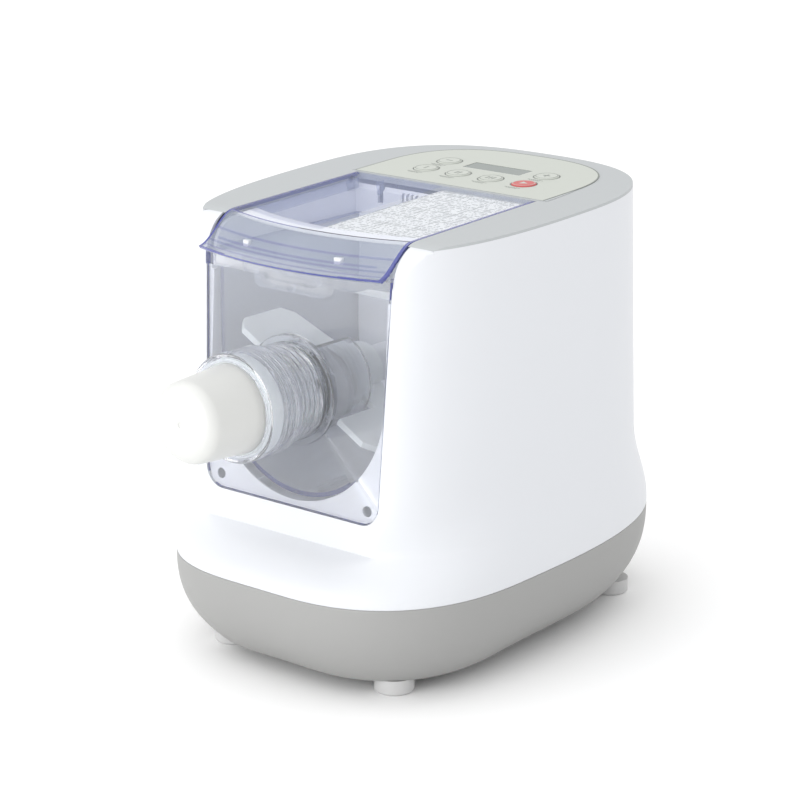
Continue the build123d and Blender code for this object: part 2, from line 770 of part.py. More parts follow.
def make_top_cover():
    inner_depth = 40.0
    edge = body_form(0, 0) & (top_frame * Pos(0, 0, -cover_edge / 2) * Box(800, 800, cover_edge))
    step = body_form(wall + seat_gap, 0)
    step &= top_frame * Pos(0, 0, -(cover_edge + cover_thickness) / 2) * Box(800, 800, cover_thickness - cover_edge)
    cover = edge + step
    opening = lid_half_width + lid_gap
    cover -= Pos(0, bay_rear - 200, top_height) * Box(2 * opening, 400, 120)
    recess = extrude(Face(panel_wire(-0.2, 0)), -panel_thickness) + extrude(Face(panel_wire(-0.2, 0)), 5)
    cover -= top_frame * recess
    for hole in button_openings(button_gap + 0.4, inner_depth):
        cover -= top_frame * hole
    for side in (-1, 1):
        middle = side * (opening + ear_width / 2)
        ear = Pos(middle, lid_rear - pin_inset, -cover_thickness - 1.5) * Box(ear_width, ear_length, 7)
        cover += top_frame * ear
        bore = Pos(middle, lid_rear - pin_inset, -pin_depth) * Rot(0, 90, 0)
        cover -= top_frame * bore * Cylinder(pin_radius + shaft_gap, 10)
    for across, along in board_posts:
        post_length = board_depth - cover_thickness - board_thickness + 1
        post = Pos(across, along, -cover_thickness + 1 - post_length / 2) * Cylinder(post_radius, post_length)
        cover += top_frame * post
    return cover


def make_control_panel():
    panel = extrude(Face(panel_wire(0, 0.2)), -panel_thickness)
    for hole in button_openings(button_gap, 20):
        panel -= hole
    return top_frame * panel


def make_display_lens():
    lens = Pos(0, display_centre, -0.7) * Box(display_width - 0.3, display_depth - 0.3, 1.8)
    return top_frame * lens


def make_display_module():
    high = board_depth - board_thickness - 1.8 - 0.3
    module = Pos(0, display_centre, -1.8 - 0.2 - high / 2) * Box(display_width - 2, display_depth - 1, high)
    return top_frame * module


def make_button(across, along):
    stem_end = board_depth - board_thickness - switch_height - button_travel - 0.1
    cap = Pos(0, 0, (button_proud - cover_thickness) / 2) * Cylinder(button_radius, button_proud + cover_thickness)
    cap = chamfer(cap.edges().sort_by(Axis.Z)[-1], 0.6)
    collar = Pos(0, 0, -cover_thickness - button_travel - 0.6) * Cylinder(button_radius + 1.6, 1.2)
    stem = Pos(0, 0, -(cover_thickness + stem_end) / 2) * Cylinder(3, stem_end - cover_thickness)
    link = Pos(0, 0, -cover_thickness - button_travel / 2) * Cylinder(button_radius - 0.6, button_travel + 0.4)
    return top_frame * Pos(across, along, 0) * (cap + collar + stem + link)


def make_control_board():
    board = Pos(0, 89, -board_depth + board_thickness / 2) * Box(136, 58, board_thickness)
    return top_frame * board


def make_tact_switches():
    switches = []
    top = -board_depth + board_thickness
    for across, along in button_places():
        body = Pos(across, along, top + (switch_height - 0.8) / 2) * Box(6, 6, switch_height - 0.8)
        knob = Pos(across, along, top + switch_height / 2) * Cylinder(1.7, switch_height)
        switches.append(top_frame * (body + knob))
    return Compound(children=switches)


def make_lid_switch():
    height = top_plane(bay_rear) - 16
    case = Pos(slot_across, bay_rear + 5.5, height) * Box(6.5, 10, 20)
    lever = Pos(slot_across, bay_rear + 0.6, height + 2) * Box(3.5, 0.6, 14)
    return case + Pos(slot_across, bay_rear + 0.5, height - 8) * Box(6.5, 1.2, 3) + lever


# ---------------------------------------------------------------- drive

def involute(angle):
    return math.tan(angle) - angle


def gear_face(teeth, module, offset):
    """Spur gear outline with straight-sided involute flanks and working backlash."""
    pitch = module * teeth / 2
    base = pitch * math.cos(math.radians(20))
    root, tip = pitch - dedendum * module, pitch + addendum * module
    half_pitch = math.pi / (2 * teeth) - 0.07 * module / pitch
    points = []
    for tooth in range(teeth):
        centre = 2 * math.pi * tooth / teeth + math.radians(offset)
        flank = []
        for radius in (root, pitch, tip):
            pressure = math.acos(min(1.0, base / radius))
            flank.append((radius, half_pitch + involute(math.radians(20)) - involute(pressure)))
        for radius, half in flank:
            points.append((radius * math.cos(centre - half), radius * math.sin(centre - half)))
        for radius, half in reversed(flank):
            points.append((radius * math.cos(centre + half), radius * math.sin(centre + half)))
    return Polygon(*points, align=None)


def gear(teeth, module, start, width, height, offset, bore):
    face = gear_face(teeth, module, offset) - Circle(bore)
    return along_y(Pos(0, height) * face, start, start + width)


def make_output_gear():
    return gear(big_teeth, final_module, final_front, final_face, axis_height, 0, shaft_radius + 0.02)


def make_main_shaft():
    rear = box_rear - box_wall - 1.5
    shaft = disc(shaft_radius, hub_rear + 1.0, rear)
    shaft += along_y(Pos(0, axis_height) * hexagon(hex_across), hub_rear - hex_length + 1, hub_rear + 2)
    return shaft + disc(shaft_radius - 2, rear - 1, box_rear - 0.5)


def make_idler():
    """Compound wheel: small pinion for the output gear, big wheel for the motor."""
    pinion = gear(small_teeth, final_module, final_front, final_face + gear_clearance + 1, idler_height,
                  180 / small_teeth, 0.001)
    wheel = gear(big_teeth, first_module, first_front, first_face, idler_height, 0, 0.001)
    axle = disc(4, box_front + 0.5, box_rear - 0.5, idler_height)
    return pinion + wheel + axle


def make_gearbox_case():
    low = chassis_height + chassis_thickness
    face = Pos(0, (low + box_top) / 2) * RectangleRounded(2 * box_half_width, box_top - low, 12)
    hollow = Pos(0, (low + box_top) / 2) * RectangleRounded(
        2 * (box_half_width - box_wall), box_top - low - 2 * box_wall, 9)
    case = along_y(face, box_front + box_wall, box_rear)
    case -= along_y(hollow, box_front, box_rear - box_wall)
    case += disc(14, box_rear - box_wall - 1, box_rear + 3)
    case += Pos(0, (box_front + box_rear) / 2 + 1.5, low + 1.5) * Box(2 * box_half_width + 20, box_depth - 3, 3)
    case -= disc(shaft_radius - 2 + shaft_gap, box_rear - box_wall - 2, box_rear + 0.2)
    case -= disc(4 + shaft_gap, box_rear - box_wall - 1, box_rear + 1, idler_height)
    case -= disc(pilot_radius + 0.1, box_rear - box_wall - 1, box_rear + 1, motor_height)
    return case


def make_gearbox_plate():
    low = chassis_height + chassis_thickness
    face = Pos(0, (low + box_top) / 2) * RectangleRounded(2 * box_half_width, box_top - low, 12)
    plate = along_y(face, box_front, box_front + box_wall)
    plate -= disc(bearing_radius + 0.05, box_front - 1, box_front + box_wall + 1)
    plate -= disc(4 + shaft_gap, box_front - 1, box_front + box_wall + 1, idler_height)
    for across, height in plate_screws():
        plate -= disc(1.7, box_front - 1, box_front + box_wall + 1, height, across)
    return plate


def make_shaft_bearing():
    return ring(bearing_radius, shaft_radius + shaft_gap, box_front - 1.5, box_front + box_wall + 1.5)


def plate_screws():
    low = chassis_height + chassis_thickness
    edge = box_half_width - 6
    return [(side * edge, height) for side in (-1, 1) for height in (low + 14, axis_height - 40, box_top - 14)]


def make_gearbox_screws():
    screws = []
    for across, height in plate_screws():
        head = disc(3, box_front - 2, box_front, height, across)
        screws.append(head + disc(1.6, box_front, box_front + box_wall, height, across))
    return Compound(children=screws)


def make_motor_can():
    front = box_rear + seat_gap
    rear = front + motor_length
    can = disc(motor_radius, front, rear, motor_height) - disc(motor_radius - 2, front + 4, rear + 1, motor_height)
    can += disc(pilot_radius, front - box_wall, front + 1, motor_height)
    return can - disc(rotor_radius + shaft_gap, front - box_wall - 1, front + 6, motor_height)


def make_motor_cap():
    start = box_rear + seat_gap + motor_length
    cap = disc(motor_radius, start, start + motor_cap, motor_height)
    return cap - disc(rotor_radius + shaft_gap, start - 1, start + motor_cap + 1, motor_height)


def make_motor_magnets():
    start = box_rear + seat_gap + 8
    shell = ring(motor_radius - 2.1, motor_radius - 8, start, start + motor_length - 16, motor_height)
    gap = Pos(0, start + motor_length / 2, motor_height) * Box(8, motor_length, 2 * motor_radius)
    return shell - gap


def make_rotor():
    """Motor shaft with its wound core."""
    fan_start = box_rear + seat_gap + motor_length + motor_cap + 2
    shaft = disc(rotor_radius, first_front - 1, fan_start + fan_width, motor_height)
    start = box_rear + seat_gap + 12
    return shaft + disc(motor_radius - 9.5, start, start + motor_length - 24, motor_height)


def make_motor_pinion():
    return gear(small_teeth, first_module, first_front, first_face, motor_height, 180 / small_teeth,
                rotor_radius + 0.02)


def make_fan():
    start = box_rear + seat_gap + motor_length + motor_cap + 2
    fan = ring(7, rotor_radius + 0.02, start, start + fan_width, motor_height)
    fan += ring(fan_radius, rotor_radius + 0.02, start, start + 1.6, motor_height)
    for step in range(8):
        vane = Pos(0, start + fan_width / 2, 0) * Box(1.6, fan_width, fan_radius - 7)
        vane = Pos(0, 0, motor_height) * Rot(0, 45 * step, 0) * Pos(0, 0, (fan_radius + 5) / 2) * vane
        fan += vane
    return fan


def make_chassis():
    plate = Pos(0, 98, chassis_height + chassis_thickness / 2) * Box(2 * chassis_half_width, 104, chassis_thickness)
    return plate


def make_motor_cradle():
    low = chassis_height + chassis_thickness
    start = box_rear + 14
    high = motor_height - 10
    block = Pos(0, start + 17, (low + high) / 2) * Box(48, 34, high - low)
    return block - disc(motor_radius + seat_gap, start - 1, start + 40, motor_height)


def make_power_board():
    low = chassis_height + chassis_thickness
    board = Pos(-53, 118, low + 25) * Box(1.6, 60, 50)
    for along, size in ((102, 16), (126, 20)):
        board += Pos(-46.5, along, low + 22) * Box(13, size, size)
    return board


def gland_skin():
    """Y of the base's rear skin at the cord grommet."""
    plan = body_plan(seam_height)
    tuck = base_tuck * ((seam_height - gland_height) / (seam_height - base_bottom)) ** base_curve
    share = abs(gland_across) / (plan[0] - tuck)
    return plan[3] + (plan[2] - tuck - plan[3]) * (1 - share ** plan[6]) ** (1 / plan[6])


def make_cord_gland():
    skin = gland_skin()
    inside = skin - wall - 7.0
    gland = disc(gland_radius, inside - 2.5, skin + gland_proud, gland_height, gland_across)
    gland += disc(gland_radius + gland_flange, inside - 2.5, inside, gland_height, gland_across)
    return gland - disc(gland_bore, inside - 3, skin + 10, gland_height, gland_across)


# ---------------------------------------------------------------- build and export

pieces = {
    "body_shell": make_body_shell(),
    "base_tray": make_base_tray(),
    "base_screws": make_base_screws(),
    "bay_liner": make_bay_liner(),
    "shaft_seal": make_shaft_seal(),
    "top_cover": make_top_cover(),
    "control_panel": make_control_panel(),
    "display_lens": make_display_lens(),
    "display_module": make_display_module(),
    "control_board": make_control_board(),
    "tact_switches": make_tact_switches(),
    "lid_switch": make_lid_switch(),
    "gearbox_case": make_gearbox_case(),
    "gearbox_plate": make_gearbox_plate(),
    "gearbox_screws": make_gearbox_screws(),
    "shaft_bearing": make_shaft_bearing(),
    "motor_can": make_motor_can(),
    "motor_cap": make_motor_cap(),
    "motor_magnets": make_motor_magnets(),
    "motor_cradle": make_motor_cradle(),
    "chassis_plate": make_chassis(),
    "power_board": make_power_board(),
    "cord_gland": make_cord_gland(),
    "lid_cover": make_lid_cover(),
    "lid_label": make_lid_label(),
    "mixing_bowl": make_mixing_bowl(),
    "bowl_bush": make_bowl_bush(),
    "mixing_screw": make_mixing_screw(),
    "stirring_paddle": make_paddle(),
    "front_plate": make_front_plate(),
    "extrusion_die": make_die(),
    "locking_nut": make_nut(),
    "outlet_cap": make_cap(),
    "main_shaft": make_main_shaft(),
    "output_gear": make_output_gear(),
    "idler_gear": make_idler(),
    "motor_rotor": make_rotor(),
    "motor_pinion": make_motor_pinion(),
    "cooling_fan": make_fan(),
}

foot_names = ["foot_front_left", "foot_front_right", "foot_rear_left", "foot_rear_right"]
for foot_name, (foot_x, foot_y) in zip(foot_names, foot_places()):
    pieces[foot_name] = make_foot(foot_x, foot_y)

button_names = ["button_1", "button_2", "button_3", "button_start", "button_left", "button_right"]
for button_name, (button_x, button_y) in zip(button_names, button_places()):
    pieces[button_name] = make_button(button_x, button_y)

os.makedirs("parts", exist_ok=True)
for name, piece in pieces.items():
    export_step(piece, f"parts/{name}.step")
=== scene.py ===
import json
import math

import bmesh
import bpy
from mathutils import Matrix, Vector


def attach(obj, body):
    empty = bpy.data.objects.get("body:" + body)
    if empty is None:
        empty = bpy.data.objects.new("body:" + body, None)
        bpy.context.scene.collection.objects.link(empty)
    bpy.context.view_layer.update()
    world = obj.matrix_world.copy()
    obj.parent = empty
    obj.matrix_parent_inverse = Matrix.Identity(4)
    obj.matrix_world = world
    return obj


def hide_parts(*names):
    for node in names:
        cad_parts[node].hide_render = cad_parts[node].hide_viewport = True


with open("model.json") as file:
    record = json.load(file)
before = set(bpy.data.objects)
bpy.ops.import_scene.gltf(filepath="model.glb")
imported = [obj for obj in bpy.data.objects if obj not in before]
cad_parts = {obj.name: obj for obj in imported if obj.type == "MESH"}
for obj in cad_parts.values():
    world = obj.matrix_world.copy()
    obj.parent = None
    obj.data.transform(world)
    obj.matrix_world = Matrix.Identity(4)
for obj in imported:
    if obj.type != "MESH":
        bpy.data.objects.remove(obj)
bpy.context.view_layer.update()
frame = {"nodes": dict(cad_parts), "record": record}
nodes = frame["nodes"]
scene = bpy.context.scene

MM = 0.001

# ---------------------------------------------------------------- materials

MATERIALS = {}     # by the name that the record's slots and the pieces use

GRAIN_DEPTH, GRAIN_DETAIL, MOTTLE_DETAIL = 0.00012, 2.0, 3.0     # depth in metres
CLEAR_INDEX, SLANT_BLEND = 1.46, 0.25

# the card's print: pitches in metres, then shares of a pitch and the strength of the ink
ROW_PITCH, DASH_PITCH, RULE_PITCH, COLUMN_PITCH, COLUMN_SHIFT = 0.0031, 0.0011, 0.0186, 0.0224, 0.0008
BLANK_SHARE, DASH_HALF_HEIGHT, RULE_WIDTH, COLUMN_WIDTH, INK_STRENGTH = 0.42, 0.2, 0.022, 0.02, 0.85


def principled(name, colour, roughness, **inputs):
    """Plain Principled material in MATERIALS; inputs are socket names with underscores for spaces."""
    material = bpy.data.materials.new(name)
    material.use_nodes = True
    shader = material.node_tree.nodes["Principled BSDF"]
    shader.inputs["Base Color"].default_value = (*colour, 1.0)
    shader.inputs["Roughness"].default_value = roughness
    for key, value in inputs.items():
        shader.inputs[key.replace("_", " ")].default_value = value
    MATERIALS[name] = material
    return material


def noise_over(tree, scale, detail):
    """Noise laid over the object's own coordinates."""
    place = tree.nodes.new("ShaderNodeTexCoord")
    noise = tree.nodes.new("ShaderNodeTexNoise")
    noise.inputs["Scale"].default_value = scale
    noise.inputs["Detail"].default_value = detail
    tree.links.new(place.outputs["Object"], noise.inputs["Vector"])
    return noise.outputs["Fac"]


def grained(name, colour, roughness, scale, strength, **inputs):
    """Material with a fine moulded texture as bump."""
    tree = principled(name, colour, roughness, **inputs).node_tree
    bump = tree.nodes.new("ShaderNodeBump")
    bump.inputs["Strength"].default_value = strength
    bump.inputs["Distance"].default_value = GRAIN_DEPTH
    tree.links.new(noise_over(tree, scale, GRAIN_DETAIL), bump.inputs["Height"])
    tree.links.new(bump.outputs["Normal"], tree.nodes["Principled BSDF"].inputs["Normal"])


def mottled(name, colour, roughness, scale, low, high, **inputs):
    """Material whose roughness wanders between two values, as on a moulded or rolled surface."""
    tree = principled(name, colour, roughness, **inputs).node_tree
    spread = tree.nodes.new("ShaderNodeMapRange")
    spread.inputs["To Min"].default_value = low
    spread.inputs["To Max"].default_value = high
    tree.links.new(noise_over(tree, scale, MOTTLE_DETAIL), spread.inputs["Value"])
    tree.links.new(spread.outputs["Result"], tree.nodes["Principled BSDF"].inputs["Roughness"])


def clear(name, tint, cover, gather, roughness=0.03):
    """Thin clear moulding: mostly see-through, denser by gather where it is seen at a flat angle."""
    tree = principled(name, tint, roughness, IOR=CLEAR_INDEX).node_tree
    slant = tree.nodes.new("ShaderNodeLayerWeight")
    slant.inputs["Blend"].default_value = SLANT_BLEND
    spread = tree.nodes.new("ShaderNodeMapRange")
    spread.inputs["To Min"].default_value = cover
    spread.inputs["To Max"].default_value = min(1.0, cover + gather)
    tree.links.new(slant.outputs["Facing"], spread.inputs["Value"])
    tree.links.new(spread.outputs["Result"], tree.nodes["Principled BSDF"].inputs["Alpha"])


def printed(name, colour, roughness, ink):
    """Rows of short grey dashes in ruled blocks: a plain measuring table with no readable words."""
    tree = principled(name, colour, roughness).node_tree
    new, link = tree.nodes.new, tree.links.new
    place, split = new("ShaderNodeTexCoord"), new("ShaderNodeSeparateXYZ")
    link(place.outputs["Object"], split.inputs["Vector"])

    def maths(operation, first, second=0.0):
        node = new("ShaderNodeMath")
        node.operation = operation
        for socket, value in zip(node.inputs, (first, second)):
            if isinstance(value, float):
                socket.default_value = value
            else:
                link(value, socket)
        return node.outputs[0]

    def lines(place_along, pitch, width):
        return maths("LESS_THAN", maths("FRACT", maths("MULTIPLY", place_along, 1 / pitch)), width)

    along, across = split.outputs["Y"], split.outputs["X"]
    row = maths("MULTIPLY", along, 1 / ROW_PITCH)
    join = new("ShaderNodeCombineXYZ")
    link(maths("FLOOR", maths("MULTIPLY", across, 1 / DASH_PITCH)), join.inputs["X"])
    link(maths("FLOOR", row), join.inputs["Y"])
    dice = new("ShaderNodeTexWhiteNoise")
    dice.noise_dimensions = "2D"
    link(join.outputs["Vector"], dice.inputs["Vector"])
    dash = maths("GREATER_THAN", dice.outputs["Value"], BLANK_SHARE)
    off_middle = maths("ABSOLUTE", maths("SUBTRACT", maths("FRACT", row), 0.5))
    text = maths("MULTIPLY", dash, maths("LESS_THAN", off_middle, DASH_HALF_HEIGHT))
    ruled = maths("MAXIMUM", lines(along, RULE_PITCH, RULE_WIDTH),
                  lines(maths("ADD", across, COLUMN_SHIFT), COLUMN_PITCH, COLUMN_WIDTH))
    mix = new("ShaderNodeMix")
    mix.data_type = "RGBA"
    base = tree.nodes["Principled BSDF"].inputs["Base Color"]
    mix.inputs["A"].default_value = tuple(base.default_value)
    mix.inputs["B"].default_value = (*ink, 1.0)
    link(maths("MAXIMUM", maths("MULTIPLY", text, INK_STRENGTH), ruled), mix.inputs["Factor"])
    link(mix.outputs["Result"], base)


# name, colour, roughness, then noise scale and roughness range, or noise scale and bump strength
mottled("white_shell", (0.665, 0.68, 0.71), 0.42, 60, 0.36, 0.44, Coat_Weight=0.05, Coat_Roughness=0.3)
grained("grey_base", (0.315, 0.315, 0.31), 0.5, 900, 0.25)
mottled("white_liner", (0.955, 0.965, 0.995), 0.35, 60, 0.3, 0.4)
grained("grey_cover", (0.43, 0.45, 0.46), 0.5, 900, 0.15)
grained("panel", (0.49, 0.515, 0.47), 0.4, 1400, 0.08)
mottled("display", (0.16, 0.19, 0.175), 0.2, 80, 0.15, 0.25)
grained("button_key", (0.50, 0.525, 0.48), 0.4, 1400, 0.08)
grained("red_key", (0.53, 0.09, 0.09), 0.4, 1400, 0.08)
mottled("milky", (0.90, 0.92, 0.97), 0.5, 120, 0.4, 0.6)
mottled("clear_solid", (0.95, 0.965, 1.0), 0.02, 60, 0.01, 0.05, Transmission_Weight=0.9, IOR=1.42)
mottled("frost", (0.74, 0.75, 0.78), 0.55, 120, 0.45, 0.65)
# painted shade: the dark line in the crease where the visor bends off the lid
mottled("painted_bend_shade", (0.03, 0.03, 0.05), 0.4, 200, 0.35, 0.45)
mottled("print", (0.20, 0.22, 0.20), 0.5, 200, 0.45, 0.55)
mottled("white_nylon", (0.90, 0.935, 0.935), 0.42, 90, 0.36, 0.48)
mottled("grey_nylon", (0.78, 0.80, 0.83), 0.42, 90, 0.36, 0.48)
mottled("white_cap", (0.61, 0.615, 0.60), 0.3, 90, 0.26, 0.34)
mottled("foot", (0.52, 0.52, 0.52), 0.5, 120, 0.4, 0.6)
mottled("rubber", (0.03, 0.03, 0.035), 0.6, 120, 0.5, 0.7)
mottled("steel", (0.60, 0.61, 0.63), 0.3, 150, 0.25, 0.4, Metallic=1.0)
grained("cast_metal", (0.62, 0.63, 0.64), 0.45, 700, 0.3, Metallic=1.0)
mottled("bronze", (0.70, 0.52, 0.28), 0.35, 150, 0.3, 0.45, Metallic=1.0)
mottled("electronics", (0.02, 0.02, 0.022), 0.5, 120, 0.4, 0.6)
mottled("circuit_board", (0.02, 0.12, 0.05), 0.4, 120, 0.35, 0.5)
# name, colour, roughness and ink
printed("label", (0.72, 0.73, 0.72), 0.45, (0.14, 0.15, 0.14))
# name, tint, cover seen straight on, what a flat angle adds, and roughness
clear("clear_plastic", (0.82, 0.87, 1.0), 0.09, 0.10)
clear("clear_bowl", (0.88, 0.92, 1.0), 0.30, 0.15)
clear("clear_lid", (0.36, 0.42, 0.66), 0.22, 0.10)
clear("clear_visor", (0.37, 0.41, 0.50), 0.38, 0.25)
# the last two are painted shade: darker tints on the edges, ribs and bends of clear mouldings, where the plastic bends
# and swallows the light
clear("clear_soft_shade", (0.22, 0.24, 0.42), 0.5, 0.2)
clear("clear_deep_shade", (0.06, 0.07, 0.30), 0.8, 0.15, 0.15)

SLOTS = {part["node"]: part["material_slot"] for part in frame["record"]["subparts"]}


def rounded_shading(angle=28.0, weld_distance=0.00001):
    """Modifier group that welds a CAD mesh and shades it smooth, with sharp edges above an angle."""
    group = bpy.data.node_groups.new("rounded_shading", "GeometryNodeTree")
    for way in ("INPUT", "OUTPUT"):
        group.interface.new_socket("Geometry", in_out=way, socket_type="NodeSocketGeometry")
    new, link = group.nodes.new, group.links.new
    enter, leave = new("NodeGroupInput"), new("NodeGroupOutput")
    weld = new("GeometryNodeMergeByDistance")
    weld.inputs["Distance"].default_value = weld_distance
    soft, hard = new("GeometryNodeSetShadeSmooth"), new("GeometryNodeSetShadeSmooth")
    soft.domain = "FACE"
    hard.domain = "EDGE"
    hard.inputs["Shade Smooth"].default_value = False
    edge = new("GeometryNodeInputMeshEdgeAngle")
    over = new("FunctionNodeCompare")
    over.inputs["B"].default_value = math.radians(angle)
    for before, after in ((enter, weld), (weld, soft), (soft, hard), (hard, leave)):
        link(before.outputs["Geometry"], after.inputs["Geometry"])
    link(edge.outputs["Unsigned Angle"], over.inputs["A"])
    link(over.outputs["Result"], hard.inputs["Selection"])
    return group


# ---------------------------------------------------------------- mesh helpers


def raw(name, points, faces):
    """Closed mesh from points in millimetres, with its faces turned outwards."""
    mesh = bpy.data.meshes.new(name)
    mesh.from_pydata([[value * MM for value in point] for point in points], [], faces)
    mesh.validate()
    turned = bmesh.new()
    turned.from_mesh(mesh)
    bmesh.ops.recalc_face_normals(turned, faces=turned.faces)
    turned.to_mesh(mesh)
    turned.free()
    obj = bpy.data.objects.new(name, mesh)
    scene.collection.objects.link(obj)
    return obj


def apply_modifiers(obj):
    """Bakes the modifiers of a new piece into its mesh."""
    depsgraph = bpy.context.evaluated_depsgraph_get()
    baked = bpy.data.meshes.new_from_object(obj.evaluated_get(depsgraph))
    old = obj.data
    obj.modifiers.clear()
    obj.data = baked
    baked.name = obj.name
    bpy.data.meshes.remove(old)


def boolean(obj, tools, operation="DIFFERENCE"):
    """Cuts or joins closed meshes, then removes the tools."""
    for tool in tools:
        step = obj.modifiers.new("cut", "BOOLEAN")
        step.operation = operation
        step.solver = "EXACT"
        step.object = tool
    apply_modifiers(obj)
    for tool in tools:
        bpy.data.objects.remove(tool)


def softened(obj, width, angle=40.0, segments=2):
    """Rounds the sharp edges of a new piece by a width in millimetres."""
    step = obj.modifiers.new("soft", "BEVEL")
    step.width = width * MM
    step.segments = segments
    step.limit_method = "ANGLE"
    step.angle_limit = math.radians(angle)
    apply_modifiers(obj)
    return obj


def finish_piece(obj, body, slot, replaces=(), sharp=35.0, material=None, levelled=True):
    """Material, shading and body of a new piece; the material is the slot's own unless named."""
    obj.data.materials.clear()
    obj.data.materials.append(MATERIALS[material or slot])
    obj.data.shade_smooth()
    obj.data.set_sharp_from_angle(angle=math.radians(sharp))
    if levelled:
        level = obj.modifiers.new("level", "WEIGHTED_NORMAL")
        level.keep_sharp = True
    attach(obj, body)
    if replaces:
        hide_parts(*replaces)


def paint(obj, material, chosen):
    """Gives another material to the faces that chosen(centre, normal) picks, centre in millimetres."""
    obj.data.materials.append(MATERIALS[material])
    index = len(obj.data.materials) - 1
    for face in obj.data.polygons:
        if chosen(face.center / MM, face.normal):
            face.material_index = index


def prism_faces(count, first=0):
    """Faces of a closed prism whose near and far outlines have count points each, from point first on."""
    faces = [tuple(range(count - 1, -1, -1)), tuple(range(count, 2 * count))]
    faces += [(i, (i + 1) % count, count + (i + 1) % count, count + i) for i in range(count)]
    return [tuple(first + i for i in face) for face in faces]


def prism(name, outline, near, far, to_point):
    """Closed prism: outline points (a, b) carried from near to far by to_point(a, b, depth)."""
    points = [to_point(a, b, near) for a, b in outline] + [to_point(a, b, far) for a, b in outline]
    return raw(name, points, prism_faces(len(outline)))


def sweep(name, sections, closed=False):
    """Closed mesh through equal loops of points; closed joins the last loop to the first."""
    count, rows = len(sections[0]), len(sections)
    faces = []
    for row in range(rows if closed else rows - 1):
        after = (row + 1) % rows
        for step in range(count):
            beside = (step + 1) % count
            faces.append((row * count + step, row * count + beside, after * count + beside, after * count + step))
    if not closed:
        faces += [tuple(range(count)), tuple((rows - 1) * count + step for step in range(count))]
    return raw(name, [point for section in sections for point in section], faces)


def lathe(name, section, segments=112):
    """Ring about the extrusion axis from a closed section of points (radius, y)."""
    loops = []
    for step in range(segments):
        angle = 2 * math.pi * step / segments
        loops.append([(radius * math.sin(angle), y, AXIS + radius * math.cos(angle)) for radius, y in section])
    return sweep(name, loops, closed=True)


def straight_up(a, b, depth):
    """Point of a plan (x, y) at a height."""
    return a, b, depth


def from_front(a, b, depth):
    """Point of a front view (x, z) at a place along the part."""
    return a, depth, b


def box(name, low, high):
    """Box between two corners."""
    outline = [(low[0], low[1]), (high[0], low[1]), (high[0], high[1]), (low[0], high[1])]
    return prism(name, outline, low[2], high[2], straight_up)


# outlines as points (a, b)

QUARTER = [math.radians(step * 7.5) for step in range(13)]     # a quarter turn


def circle(radius, centre_a=0.0, centre_b=0.0, steps=32):
    turns = [2 * math.pi * step / steps for step in range(steps)]
    return [(centre_a + radius * math.cos(turn), centre_b + radius * math.sin(turn)) for turn in turns]


def bar(width, height, centre_a=0.0, centre_b=0.0):
    return [(centre_a - width / 2, centre_b - height / 2), (centre_a + width / 2, centre_b - height / 2),
            (centre_a + width / 2, centre_b + height / 2), (centre_a - width / 2, centre_b + height / 2)]


def rounded_rect(width, height, radius, centre_a=0.0, centre_b=0.0, steps=6):
    points = []
    for turn, (side, rise) in enumerate(((1, 1), (-1, 1), (-1, -1), (1, -1))):
        for step in range(steps + 1):
            angle = math.radians(90 * turn + 90 * step / steps)
            points.append((centre_a + side * (width / 2 - radius) + radius * math.cos(angle),
                           centre_b + rise * (height / 2 - radius) + radius * math.sin(angle)))
    return points


def slot_outline(width, length, centre_a, centre_b, steps=8):
    """Upright slot with round ends."""
    radius, reach = width / 2, (length - width) / 2
    points = []
    for end, start in ((1, 0), (-1, math.pi)):
        for step in range(steps + 1):
            angle = math.radians(180 * step / steps) + start
            points.append((centre_a + radius * math.cos(angle), centre_b + end * reach + radius * math.sin(angle)))
    return points


# ---------------------------------------------------------------- body form, in millimetres

CENTRE = 20.0     # y of the axis that the outlines are measured from
AXIS = 175.4      # height of the extrusion axis
SEAM, WAIST, TOP = 62.0, 123.0, 271.9
# plans: half width, front, rear, widest place, half width of the flat front, powers of the front and rear curves
SEAM_PLAN = (113.0, -129.0, 189.5, -20.0, 18.0, 2.45, 2.8)
WAIST_PLAN = (105.0, -129.0, 161.0, 32.0, 58.0, 2.6, 3.0)
TOP_PLAN = (106.3, -129.0, 151.5, 42.0, 58.0, 2.6, 2.7)
TILT = math.radians(2.233)     # of the top
FACET_FOOT, FACET_LEAN, FACET_DEPTH = -104.3, 0.0556, 3.0
FLARE_LOW, FLARE_HIGH = 64.0, 92.0
CREASE, CREASE_SLOPE, CREASE_ROUND, CREASE_FLAT = 87.0, 0.5, 15.0, 62.0
NOSE_RADIUS, NOSE_SETBACK = 24.0, 1.03
CORNER_BLEND = 1.6
COVER_EDGE = 1.6
SEAM_ROUND, SEAM_DRAW = 1.0, 0.6     # height and depth of the soft edges at the seam
SHELL_WALL = 3.0
BAY_REAR, BAY_FLOOR, BAY_HALF, BAY_SPLAY, BAY_CORNER = 46.0, 104.8, 67.1, 0.029, 13.0
VENT_WIDTH, VENT_LENGTH, VENT_PITCH, VENT_HEIGHT, VENT_COUNT = 3.0, 34.0, 7.0, 92.9, 9
REAR_NEAR, REAR_FAR = 136, 196     # cuts through the rear wall reach from and to here
BASE_LOW, BASE_TUCK, BASE_POWER, BASE_WALL, BASE_ROUND = 8.0, 26.0, 2.6, 3.0, 3.0
SCREW_PLACES = [(side * 76.0, along) for side in (-1, 1) for along in (-52.0, 66.0)]
WELL_RADIUS, SCREW_RADIUS, SCREW_DEPTH = 5.0, 3.8, 9.0
FOOT_PLACES = [(side * 63.9, along) for side in (-1, 1) for along in (-79.2, 140.3)]
FOOT_RADIUS, FOOT_DEPTH = 12.2, 1.5
FLOOR_VENT_WIDTH, FLOOR_VENT_LENGTH, FLOOR_VENT_PITCH, FLOOR_VENT_ALONG, FLOOR_VENT_COUNT = 3.5, 52.0, 9.0, 30.0, 7
GROMMET_RADIUS, GROMMET_ACROSS, GROMMET_HEIGHT = 7.06, -40.0, 38.0
BELOW = 3     # cutting tools start this far below the base

